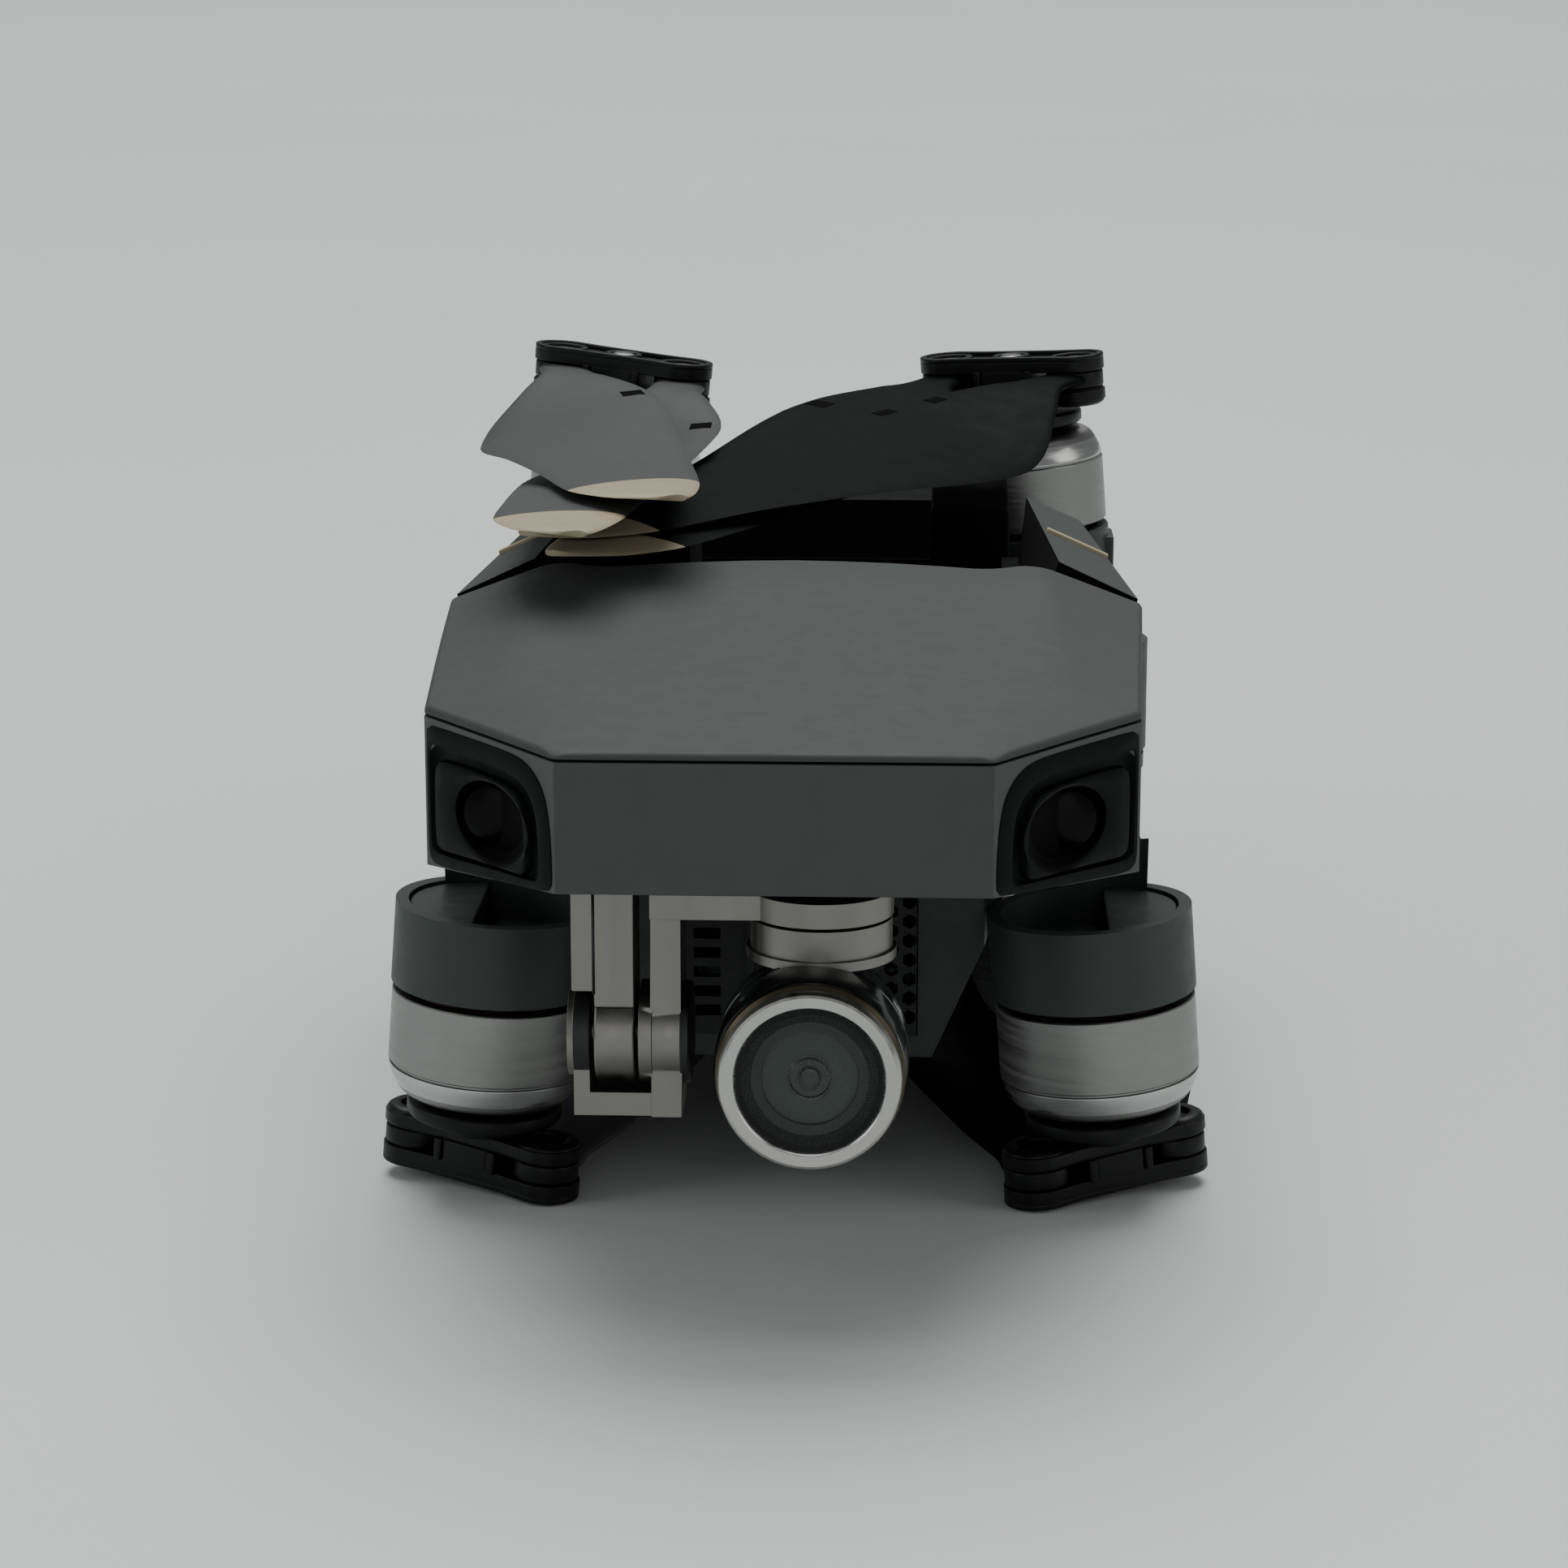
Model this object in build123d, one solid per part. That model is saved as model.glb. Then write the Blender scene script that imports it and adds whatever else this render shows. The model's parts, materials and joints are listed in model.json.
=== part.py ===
from build123d import *
import os
from math import sin, cos, tan, radians, sqrt, atan2, degrees

# Folding camera quadcopter, arms folded, battery taken out.
# Frame: +Z up, nose towards -Y, +X to the right of a person facing the nose.
# Origin: middle of the underside, on the plane that the folded aircraft stands on.
# All dimensions in millimetres.

# ---------------------------------------------------------------- driving dimensions
NOSE_Y = -99.0          # front face of the nose
TAIL_Y = 99.0           # rear face of the tail
NOSE_BACK_Y = -43.0     # rear edge of the nose cover
NOSE_HALF_FRONT = 20.7  # half width of the flat front face
NOSE_HALF_CORNER = 35.4 # half width where the corner facets end
NOSE_HALF_BACK = 37.0   # half width at the rear edge
CORNER_Y = -79.0        # where the corner facets end
SEAM_Z = 58.0           # parting line between nose cover and fascia
FASCIA_Z = 45.7         # lower edge of the front face
WALL = 1.6              # moulded wall thickness

BELLY_Z = 14.0          # underside of the lower hull
HULL_TOP_Z = 45.0       # top edge of the lower hull
BAY_HALF = 22.0         # battery bay, half width inside
BAY_FRONT_Y = -20.0     # battery bay, front wall inside
BAY_BACK_Y = 86.0       # battery bay, rear wall inside
BAY_FLOOR_Z = 30.0      # battery bay floor

MOTOR_TILT = 4.5        # lean of every motor axis, degrees
BELL_R = 10.7           # rotor bell radius
CUP_R = 10.9            # motor mount cup radius
CUP_H = 9.2             # motor mount cup depth
HUB_CC = 17.0           # distance between the two blade pivots of a hub
HUB_BOSS_R = 3.7        # radius of a hub end
PIN_R = 1.5             # blade pin radius
BLADE_L = 97.0          # blade length from its pivot
HUB_TOP = 21.8          # height of a hub above the mount rim

FRONT_MOTOR = (25.8, 42.0, 57.5)    # rim centre of the right front motor, folded
FRONT_LEFT_OUT = 0.7                # the left front motor sits this much further out
REAR_MOTOR = (32.4, -50.0, 22.61)    # rim centre of the right rear motor, folded
FRONT_PIVOT = (31.0, -32.0)         # vertical fold axis of the right front arm
FRONT_ARM_Z = (45.6, 57.6)          # front arm, bottom and top
REAR_PIVOT = (26.0, 76.0, 26.0)     # a point on the fold axis of the right rear arm
REAR_SWEEP = 30.0                   # rear arm angle behind the side direction, unfolded

PITCH_Y, PITCH_Z = -83.0, 27.5      # camera tilt axis (left-right)
YAW_X, YAW_Y = 4.1, -84.0           # camera pan axis (vertical)
ROLL_X, ROLL_Z = 3.4, 27.3          # camera roll axis (front-back)

parts = {}


# ---------------------------------------------------------------- helpers
def solid_of(shape):
    """The single solid of a result, largest first."""
    s = sorted(shape.solids(), key=lambda q: -q.volume)
    return s[0]


def fuse(*shapes):
    out = shapes[0]
    for s in shapes[1:]:
        out = out + s
    return out


def poly(verts, faces):
    """Closed solid with flat faces; each face is split into triangles if it has more than 3 corners."""
    fs = []
    for f in faces:
        for k in range(1, len(f) - 1):
            tri = [Vector(*verts[f[0]]), Vector(*verts[f[k]]), Vector(*verts[f[k + 1]])]
            fs.append(Face(Wire.make_polygon(tri, close=True)))
    s = Solid(Shell(fs))
    if s.volume < 0:
        s = Solid(Shell([-g for g in fs]))
    return s


def box(x0, x1, y0, y1, z0, z1):
    return Pos((x0 + x1) / 2, (y0 + y1) / 2, (z0 + z1) / 2) * Box(abs(x1 - x0), abs(y1 - y0), abs(z1 - z0))


def cyl_z(x, y, z0, z1, r):
    return Pos(x, y, (z0 + z1) / 2) * Cylinder(r, z1 - z0)


def cyl_y(x, z, y0, y1, r):
    return Pos(x, (y0 + y1) / 2, z) * Rot(90, 0, 0) * Cylinder(r, abs(y1 - y0))


def cyl_x(y, z, x0, x1, r):
    return Pos((x0 + x1) / 2, y, z) * Rot(0, 90, 0) * Cylinder(r, abs(x1 - x0))


def prism_z(pts, z0, z1):
    """Vertical prism over a plan outline."""
    f = make_face(Polyline(*[(p[0], p[1], z0) for p in pts], close=True))
    return extrude(f, z1 - z0, dir=(0, 0, 1))


def prism_y(pts, y0, y1):
    """Prism along Y over an outline of (x, z) corners."""
    f = make_face(Polyline(*[(p[0], y0, p[1]) for p in pts], close=True))
    return extrude(f, y1 - y0, dir=(0, 1, 0))


def prism_x(pts, x0, x1):
    """Prism along X over an outline of (y, z) corners."""
    f = make_face(Polyline(*[(x0, p[0], p[1]) for p in pts], close=True))
    return extrude(f, x1 - x0, dir=(1, 0, 0))


def mirrored(shape):
    return mirror(shape, about=Plane.YZ)


def hexahedron(b, t):
    """Solid between a bottom and a top quadrilateral, corners in the same order."""
    v = list(b) + list(t)
    return poly(v, [(3, 2, 1, 0), (4, 5, 6, 7), (0, 1, 5, 4), (1, 2, 6, 5), (2, 3, 7, 6), (3, 0, 4, 7)])


def put(name, shape):
    parts[name] = shape


# ---------------------------------------------------------------- nose
def nose_solid(d, z_low, top_drop):
    """Faceted nose volume, shrunk by d on every side and lowered by top_drop on top."""
    xf, xc, xb = NOSE_HALF_FRONT - d * 0.55, NOSE_HALF_CORNER - d, NOSE_HALF_BACK - d
    yf, yc = NOSE_Y + d, CORNER_Y + d * 0.35
    yb = NOSE_BACK_Y
    ring = [(-xf, yf, 58.7), (xf, yf, 58.7), (xc, yc, 58.8), (xb, yb, 63.4), (25.5, yb, 67.7), (21.0, yb, 67.0),
            (10.5, yb, 67.62), (0, yb, 67.9), (-10.5, yb, 67.62), (-21.0, yb, 67.0), (-25.5, yb, 67.7),
            (-xb, yb, 63.4), (-xc, yc, 58.8)]
    top = [(x, y, z - top_drop) for x, y, z in ring]
    low = [(x, y, z_low) for x, y, z in ring]
    n = len(ring)
    v = top + low
    caps = [(0, 1, 7), (1, 6, 7), (1, 5, 6), (1, 4, 5), (1, 2, 4), (2, 3, 4),
            (0, 7, 8), (0, 8, 9), (0, 9, 10), (0, 10, 12), (12, 10, 11)]
    fs = []
    for a, b, c in caps:
        fs.append(Face(Wire.make_polygon([Vector(*v[a]), Vector(*v[b]), Vector(*v[c])], close=True)))
    for i in range(n):
        j = (i + 1) % n
        fs.append(Face(Wire.make_polygon([Vector(*v[i]), Vector(*v[j]), Vector(*v[n + j]), Vector(*v[n + i])], close=True)))
    fs.append(Face(Wire.make_polygon([Vector(*p) for p in low], close=True)))
    return Solid(Shell(fs))


nose_out = nose_solid(0.0, 42.5, 0.0)
nose_in = nose_solid(WALL, 40.0, WALL)
nose_skin = nose_out - nose_in

cover = nose_skin & box(-60, 60, -120, -40, SEAM_Z + 0.15, 90)
# screw bosses under the cover
for bx in (-16, 16):
    cover = cover + cyl_z(bx, -80, 55.0, 60.2, 2.4)
cover = cover - cyl_z(-16, -80, 50, 58.5, 0.9) - cyl_z(16, -80, 50, 58.5, 0.9)
put("nose_cover", solid_of(cover))

# The fascia runs along the front, the two corner facets and the nose flanks.
fascia = nose_skin & box(-60, 60, -120, -47.0, 40, SEAM_Z - 0.15)
slope = prism_x([(-120, 30), (-120, 48.3), (NOSE_Y, FASCIA_Z), (CORNER_Y, 43.3), (-40, 43.0), (-40, 30)], -60, 60)
fascia = fascia - slope


def corner_frame(side):
    """Plane on a corner facet: origin at the middle of the sensor, x along the facet outward, z outward."""
    ang = atan2(CORNER_Y - NOSE_Y, NOSE_HALF_CORNER - NOSE_HALF_FRONT)
    t = 0.54
    ox = NOSE_HALF_FRONT + (NOSE_HALF_CORNER - NOSE_HALF_FRONT) * t
    oy = NOSE_Y + (CORNER_Y - NOSE_Y) * t
    xd = Vector(cos(ang), sin(ang), 0)
    zd = Vector(sin(ang), -cos(ang), 0)
    if side < 0:
        return Plane(origin=(-ox, oy, 50.4), x_dir=(xd.X, -xd.Y, 0), z_dir=(-zd.X, zd.Y, 0))
    return Plane(origin=(ox, oy, 50.4), x_dir=(xd.X, xd.Y, 0), z_dir=(zd.X, zd.Y, 0))


BEZ_W, BEZ_H = 21.6, 11.6
bezels, lenses = [], []
for side in (1, -1):
    pl = corner_frame(side)
    win = extrude(pl * RectangleRounded(BEZ_W, BEZ_H, 2.6), 6, both=True)
    fascia = fascia - win
    panel = extrude(pl.offset(-1.7) * RectangleRounded(BEZ_W - 0.2, BEZ_H - 0.2, 2.5), 1.1)
    rim = extrude(pl.offset(-0.6) * RectangleRounded(10.4, 10.4, 2.6), 0.7)
    bz = panel + rim
    bz = bz - extrude(pl.offset(-3) * Circle(3.7), 6)
    tube = extrude(pl.offset(-5.2) * Circle(4.6), 3.5) - extrude(pl.offset(-6) * Circle(3.7), 8)
    bz = bz + tube
    bezels.append(solid_of(bz))
    ln = extrude(pl.offset(-4.6) * Circle(3.65), 1.6) + extrude(pl.offset(-3.0) * Circle(2.3), 0.8)
    lenses.append(solid_of(ln))
put("front_fascia", solid_of(fascia))
put("sensor_bezels", Compound(children=bezels))
put("sensor_lenses", Compound(children=lenses))

# ---------------------------------------------------------------- mid frame: deck, shoulders, rails, tail block
deck = box(-35.0, 35.0, -46.6, -21.6, 58.6, 60.2)
sh = hexahedron(
    [(24.4, -39.5, 58.6), (35.6, -39.5, 58.6), (30.9, 0, 58.6), (24.4, 0, 58.6)],
    [(28.2, -39.5, 67.3), (36.7, -39.5, 63.3), (31.6, 0, 65.2), (25.4, 0, 67.9)],
)
sh_in = hexahedron(
    [(26.2, -37.5, 60.4), (33.6, -37.5, 60.4), (29.6, -2, 60.4), (26.2, -2, 60.4)],
    [(29.0, -37.5, 65.2), (34.6, -37.5, 62.6), (29.8, -2, 64.3), (26.8, -2, 65.8)],
)
shoulder = sh - sh_in
web = box(22.6, 24.4, -21.6, 3.0, 44.0, 60.2) + box(22.6, 26.0, -21.6, 3.0, 58.6, 60.2)
rail = box(22.6, 24.4, 3.0, 89.0, 41.2, 45.4)
half = shoulder + web + rail
tail = prism_y([(-27, 38.2), (27, 38.2), (27, 50.5), (24, 53.0), (-24, 53.0), (-27, 50.5)], 88.0, TAIL_Y)
tail = tail - prism_y([(-25, 36.0), (25, 36.0), (25, 49.7), (23.2, 51.3), (-23.2, 51.3), (-25, 49.7)], 89.6, 97.4)
mid = deck + half + mirrored(half) + tail + box(-22.6, 22.6, -21.6, -20.6, 44.0, 60.2)
mid = mid - cyl_z(FRONT_PIVOT[0], FRONT_PIVOT[1], 50, 61.0, 2.05) - cyl_z(-FRONT_PIVOT[0], FRONT_PIVOT[1], 50, 61.0, 2.05)
# slots in the left rail for the small controls and the port
put("mid_frame", solid_of(mid))

# ---------------------------------------------------------------- lower hull
HULL = [(-28, HULL_TOP_Z), (-24.6, 36), (-22.8, 31.6), (-15, BELLY_Z), (15, BELLY_Z), (22.8, 31.6), (24.6, 36), (28, HULL_TOP_Z)]
HULL_IN = [(-26.0, HULL_TOP_Z + 3), (-26.0, HULL_TOP_Z - 0.6), (-22.9, 36), (-21.2, 32.1), (-13.9, BELLY_Z + WALL),
           (13.9, BELLY_Z + WALL), (21.2, 32.1), (22.9, 36), (26.0, HULL_TOP_Z - 0.6), (26.0, HULL_TOP_Z + 3)]
hull = prism_y(HULL, -47.0, TAIL_Y)
hull_in = prism_y(HULL_IN, -45.4, 97.4)
hull = hull - hull_in
# rear arm pockets on both sides: the hull is waisted there
for s in (1, -1):
    hull = hull - box(s * 15.0, s * 40, 58.0, TAIL_Y + 1, 5, 33.4)
    hull = hull + (box(s * 13.4, s * 15.0, 56.4, 97.5, 14.2, 34.9) & prism_y(HULL, 50, TAIL_Y))
    hull = hull + (box(s * 13.4, s * 24.6, 56.4, 58.0, 14.0, 34.9) & prism_y(HULL, 50, TAIL_Y))
    hull = hull + (box(s * 13.4, s * 26.8, 56.4, TAIL_Y, 33.4, 34.9) & prism_y(HULL, 50, TAIL_Y))
# the tail block of the mid frame closes the hull behind the bay
hull = hull - box(-27.2, 27.2, 87.9, TAIL_Y + 1, 38.1, 60)
# nose floor
floor = prism_z([(-32.5, -47.0), (-32.5, -72.0), (-30.0, -75.4), (-15.3, -95.4), (15.3, -95.4), (30.0, -75.4), (32.5, -72.0), (32.5, -47.0)], 47.6, 49.2)
neck = box(-27.5, 27.5, -47.0, -45.4, 44.6, 49.2) + box(-27.5, 27.5, -47.0, -21.9, 43.4, 45.0)
hull = hull + floor + neck
# brackets that carry the front arm pins
for s in (1, -1):
    hull = hull + cyl_z(s * FRONT_PIVOT[0], FRONT_PIVOT[1], 43.4, 45.0, 7.0)
    hull = hull - cyl_z(s * FRONT_PIVOT[0], FRONT_PIVOT[1], 40, 46, 2.05)
# fan inlet and exhaust in the belly, sensor windows
hull = hull - cyl_z(0, 8, 10, 17, 8.2)
for wx in (-7.5, 7.5):
    hull = hull - cyl_z(wx, -34, 10, 17, 2.6)
for wx in (-6.5, 6.5):
    hull = hull - cyl_z(wx, -20, 10, 17, 4.6)
# hollow corners that clear the rear motor cups when folded
for s in (1, -1):
    hull = hull - Pos(s * 31.9, -50, 30) * Cylinder(11.75, 18)
# opening in the front wall for the vent grille
hull = hull - box(-13.4, 13.4, -48, -44, 16.4, 40.0)
put("lower_hull", solid_of(hull))

# vent grille in the rear wall of the camera bay
gr = box(-13.3, 13.3, -47.4, -45.8, 16.5, 39.9)
for col in range(3):
    for row in range(9):
        gx = 8.6 + col * 1.95
        gz = 18.6 + row * 2.15 + (1.07 if col % 2 else 0)
        gr = gr - extrude(Plane(origin=(gx, -44, gz), z_dir=(0, -1, 0)) * RegularPolygon(0.82, 6), 5)
for row in range(9):
    gz = 18.6 + row * 2.15
    gr = gr - box(-10.8, -7.9, -50, -44, gz, gz + 1.2)
for rx in (-5.0, -2.0, 1.0, 4.0):
    gr = gr + box(rx, rx + 0.8, -48.2, -47.3, 17.5, 39.0)
put("bay_vent_grille", solid_of(gr))

# ---------------------------------------------------------------- battery bay liner
bay = box(-BAY_HALF - 0.5, BAY_HALF + 0.5, BAY_FRONT_Y - 0.5, 87.8, BAY_FLOOR_Z - 1.5, 44.9)
bay = bay - box(-BAY_HALF + 1, BAY_HALF - 1, BAY_FRONT_Y + 1, 86.4, BAY_FLOOR_Z + 6.6, 60)
bay = bay - box(-BAY_HALF + 1, BAY_HALF - 1, BAY_FRONT_Y + 1, 55.0, BAY_FLOOR_Z, 60)
bay = bay - box(-40, 40, 56.2, 99, 20, 35.1)
# lower corners follow the sloping hull walls
for s in (1, -1):
    cut = prism_y([(s * 19.3, 28), (s * 30, 28), (s * 30, 38.6), (s * 22.4, 38.6), (s * 20.0, 31.5), (s * 19.3, 29.4)], -30, 95)
    keep = prism_y([(s * 20.2, 30.0), (s * 21.6, 36.0), (s * 21.6, 40), (s * 20.0, 40), (s * 18.6, 30.0)], BAY_FRONT_Y - 0.5, 56.2)
    bay = (bay - cut) + keep
bay = bay - box(-9, 9, BAY_FRONT_Y + 4, BAY_FRONT_Y + 8, 20, 31)
put("battery_bay", solid_of(bay))

con = [box(-8.8, 8.8, BAY_FRONT_Y + 4.1, BAY_FRONT_Y + 7.9, 28.6, 34.0)]
cb = con[0]
for k in range(6):
    cb = cb - box(-7.3 + k * 2.6, -6.0 + k * 2.6, BAY_FRONT_Y + 4.9, BAY_FRONT_Y + 7.1, 30.5, 36)
put("battery_contacts", solid_of(cb))

# ---------------------------------------------------------------- inner electronics
board = box(-12.6, 12.6, -40, 56, 20.6, 22.0)
board = board - cyl_z(0, 8, 15, 25, 9.4)
for sx in (-10.5, 10.5):
    for sy in (-37, 53):
        board = board - cyl_z(sx, sy, 15, 25, 1.1)
chips = box(-8, 6, -30, -16, 22.0, 23.4) + box(-9, 9, 24, 40, 22.0, 23.8)
put("main_board", solid_of(board + chips))
sink = box(-10, 10, -34, -8, 23.45, 24.6)
for k in range(7):
    sink = sink + box(-9.6 + k * 2.95, -8.6 + k * 2.95, -34, -8, 24.6, 27.6)
put("heat_sink", solid_of(sink))

# cooling fan: hub and blades, turning about a vertical axis in the belly inlet
fan = cyl_z(0, 8, 15.9, 19.9, 3.0)
for k in range(7):
    fan = fan + Pos(0, 8, 17.9) * Rot(0, 0, k * 360 / 7) * Pos(4.9, 0, 0) * Rot(28, 0, 0) * Box(5.0, 0.7, 3.4)
put("cooling_fan", solid_of(fan))

bs = []
for wx in (-7.5, 7.5):
    bs.append(cyl_z(wx, -34, 14.3, 17.6, 2.5))
for wx in (-6.5, 6.5):
    bs.append(cyl_z(wx, -20, 14.2, 18.4, 4.5))
put("belly_sensors", Compound(children=bs))

feet = []
for fx in (-9.0, 9.0):
    foot = hexahedron([(fx - 3, 82, 0), (fx + 3, 82, 0), (fx + 3, 92, 0), (fx - 3, 92, 0)],
                      [(fx - 4.4, 78, 14), (fx + 4.4, 78, 14), (fx + 4.4, 96, 14), (fx - 4.4, 96, 14)])
    feet.append(foot)
put("tail_feet", Compound(children=feet))

tl = box(-8, 8, 97.6, 98.9, 41.0, 45.0)
parts["mid_frame"] = solid_of(parts["mid_frame"] - box(-8.1, 8.1, 97, 100, 40.9, 45.1))
put("tail_light", tl)

pins = []
for s in (1, -1):
    pins.append(cyl_z(s * FRONT_PIVOT[0], FRONT_PIVOT[1], 43.4, 60.2, 2.0))
u = Vector(cos(radians(REAR_SWEEP)), sin(radians(REAR_SWEEP)) - 1, 0).normalized()
for s in (1, -1):
    pl = Plane(origin=(s * REAR_PIVOT[0], REAR_PIVOT[1], REAR_PIVOT[2]), z_dir=(s * u.X, u.Y, 0))
    pn = extrude(pl.offset(-13.2) * Circle(2.4), 19.0) + extrude(pl.offset(-13.2) * Circle(4.2), 3.0)
    pn = pn & (box(s * 15.05, s * 60, 50, 99, 10, 37.5))
    pins.append(solid_of(pn))
put("arm_hinge_pins", Compound(children=pins))

# screws: heads in counterbores under the nose floor and along the belly
screws = []
hull_c = parts["lower_hull"]
for sx, sy in ((-11, -42), (11, -42), (-11, 54), (11, 54)):
    head = cyl_z(sx, sy, 14.35, 15.3, 1.9)
    shank = cyl_z(sx, sy, 15.3, 20.5, 0.9)
    hull_c = hull_c - cyl_z(sx, sy, 10, 15.35, 2.0) - cyl_z(sx, sy, 14, 17, 0.95)
    hull_c = hull_c + (cyl_z(sx, sy, 15.4, 20.4, 2.2) - cyl_z(sx, sy, 14, 22, 0.95))
    screws.append(solid_of((head + shank) - Pos(sx, sy, 14.5) * Box(0.9, 0.9, 0.8)))
for sx in (-16, 16):
    head = cyl_z(sx, -80, 46.7, 47.6, 1.9)
    shank = cyl_z(sx, -80, 47.6, 57.0, 0.85)
    hull_c = hull_c - cyl_z(sx, -80, 45, 52, 0.95)
    screws.append(solid_of(head + shank))
parts["lower_hull"] = solid_of(hull_c)
put("body_screws", Compound(children=screws))

# ---------------------------------------------------------------- small controls on the body
# mode switch: a slider in the right flank of the hull, travels along Y
# link button and port cover: in the right flank behind it
def flank(y0, y1, z0, z1, out, inn):
    """Block that follows the sloping hull flank between z0 and z1, from 'out' outside it to 'inn' inside it."""
    def fx(z):
        return 15 + (z - BELLY_Z) * (22.8 - 15) / (31.6 - BELLY_Z)
    return hexahedron([(fx(z0) - inn, y0, z0), (fx(z0) + out, y0, z0), (fx(z0) + out, y1, z0), (fx(z0) - inn, y1, z0)],
                      [(fx(z1) - inn, y0, z1), (fx(z1) + out, y0, z1), (fx(z1) + out, y1, z1), (fx(z1) - inn, y1, z1)])


h2 = parts["lower_hull"]
h2 = h2 - flank(-8.0, 4.0, 22.0, 28.0, 3, 3.2)          # switch slot
h2 = h2 - flank(12.0, 18.0, 22.0, 28.0, 3, 3.2)         # button hole
h2 = h2 - flank(26.0, 42.0, 21.0, 29.0, 3, 3.2)         # port opening
parts["lower_hull"] = solid_of(h2)
sw = flank(-7.6, -0.6, 22.4, 27.6, 0.9, 1.5)
put("mode_switch", sw)
bt = flank(12.35, 17.65, 22.35, 27.65, 0.6, 1.5)
put("link_button", bt)
uc = flank(26.3, 41.7, 21.3, 28.7, 0.05, 1.2)
put("usb_cover", uc)

# ---------------------------------------------------------------- gimbal, fixed part
plate = prism_z([(-21.5, -90), (-14.2, -90), (-14.2, -65), (14, -65), (14, -51), (-26, -51), (-26, -72), (-21.5, -78)], 44.3, 45.5)
put("damper_plate", solid_of(plate))
balls = []
for bx, by in ((-17.9, -85), (-22.5, -55), (10.5, -60), (-8, -55)):
    b = cyl_z(bx, by, 45.5, 47.6, 1.9) & (Pos(bx, by, 46.55) * Sphere(2.1))
    balls.append(solid_of(b))
put("damper_balls", Compound(children=balls))
br = box(-20.4, -14.2, -87.0, -79.0, 41.0, 44.3) + box(-18.2, -14.2, -87.0, -79.0, 31.0, 41.5) \
    + box(-20.4, -18.2, -87.0, -79.0, 32.6, 41.5)
pm = cyl_x(PITCH_Y, PITCH_Z, -18.2, -14.2, 5.0)
br = br - cyl_x(PITCH_Y, PITCH_Z, -19.0, -14.0, 5.02)
put("gimbal_bracket", solid_of(br))
pm = pm - cyl_x(PITCH_Y, PITCH_Z, -19, -14, 1.3)
put("gimbal_pitch_motor", solid_of(pm))

# gimbal, tilting arm: U frame round the tilt motor, top arm, pan motor case
arm_u = box(-12.6, -9.6, -87.0, -79.0, 19.8, 42.6) + box(-20.3, -9.6, -86.6, -79.4, 19.8, 22.2) \
    + box(-20.3, -18.7, -86.6, -79.4, 19.8, 27.5) + cyl_x(PITCH_Y, PITCH_Z, -20.3, -18.7, 4.7)
arm_u = arm_u + cyl_x(PITCH_Y, PITCH_Z, -12.6, -8.8, 5.0) + cyl_x(PITCH_Y, PITCH_Z, -19.5, -12.0, 1.2) \
    + cyl_x(PITCH_Y, PITCH_Z, -13.8, -12.5, 5.2) + cyl_x(PITCH_Y, PITCH_Z, -20.9, -20.2, 4.4)
arm_u = arm_u + box(-12.6, 4.1, -88.0, -80.0, 40.3, 42.8) + cyl_z(YAW_X, YAW_Y, 40.3, 42.8, 7.1)
arm_u = arm_u - cyl_z(YAW_X, YAW_Y, 38, 42.0, 1.25)
put("gimbal_pitch_arm", solid_of(arm_u))

# gimbal, pan yoke: pan rotor, flange, back plate
yoke = cyl_z(YAW_X, YAW_Y, 36.9, 40.0, 7.0) + cyl_z(YAW_X, YAW_Y, 36.0, 37.0, 7.4) + cyl_z(YAW_X, YAW_Y, 39.5, 41.8, 1.2)
yoke = yoke + box(-1.5, 8.3, -78.5, -72.4, 36.0, 38.2) + box(-1.5, 8.3, -74.2, -72.4, 21.5, 38.0)
put("gimbal_yaw_yoke", solid_of(yoke))
rm = cyl_y(ROLL_X, ROLL_Z, -77.2, -74.2, 6.6)
put("gimbal_roll_motor", rm)

# camera head: turned body about the roll axis
prof = [(0, -77.5), (5.6, -77.5), (7.6, -79.5), (8.4, -83.0), (8.5, -88.0), (8.5, -91.6), (9.5, -92.4), (9.5, -96.2),
        (9.0, -97.0), (7.3, -97.0), (7.3, -93.0), (0, -93.0)]
pf = make_face(Polyline(*[(ROLL_X + r, y, ROLL_Z) for r, y in prof], close=True))
cam = revolve(pf, axis=Axis((ROLL_X, 0, ROLL_Z), (0, 1, 0)), revolution_arc=360)
put("camera_housing", solid_of(cam))
ring = cyl_y(ROLL_X, ROLL_Z, -99.0, -97.0, 8.85) - cyl_y(ROLL_X, ROLL_Z, -100, -96.5, 7.15)
put("lens_ring", solid_of(ring))
glass = cyl_y(ROLL_X, ROLL_Z, -95.4, -94.2, 7.25) + cyl_y(ROLL_X, ROLL_Z, -94.3, -93.0, 4.6)
put("lens_glass", solid_of(glass))


# ---------------------------------------------------------------- motors, hubs and blades
def motor_plane(kind, side):
    """Rim plane of a motor: z along its axis towards the hub."""
    t = radians(MOTOR_TILT)
    if kind == "front":
        x, y, z = FRONT_MOTOR
        if side < 0:
            x = x + FRONT_LEFT_OUT
        return Plane(origin=(side * x, y, z), x_dir=(cos(t), 0, side * sin(t)), z_dir=(-side * sin(t), 0, cos(t)))
    x, y, z = REAR_MOTOR
    return Plane(origin=(side * x, y, z), x_dir=(cos(t), 0, side * sin(t)), z_dir=(side * sin(t), 0, -cos(t)))


def at(pl, z0, z1, r, x=0.0, y=0.0):
    return extrude(pl.offset(z0) * Pos(x, y) * Circle(r), z1 - z0)


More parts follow.
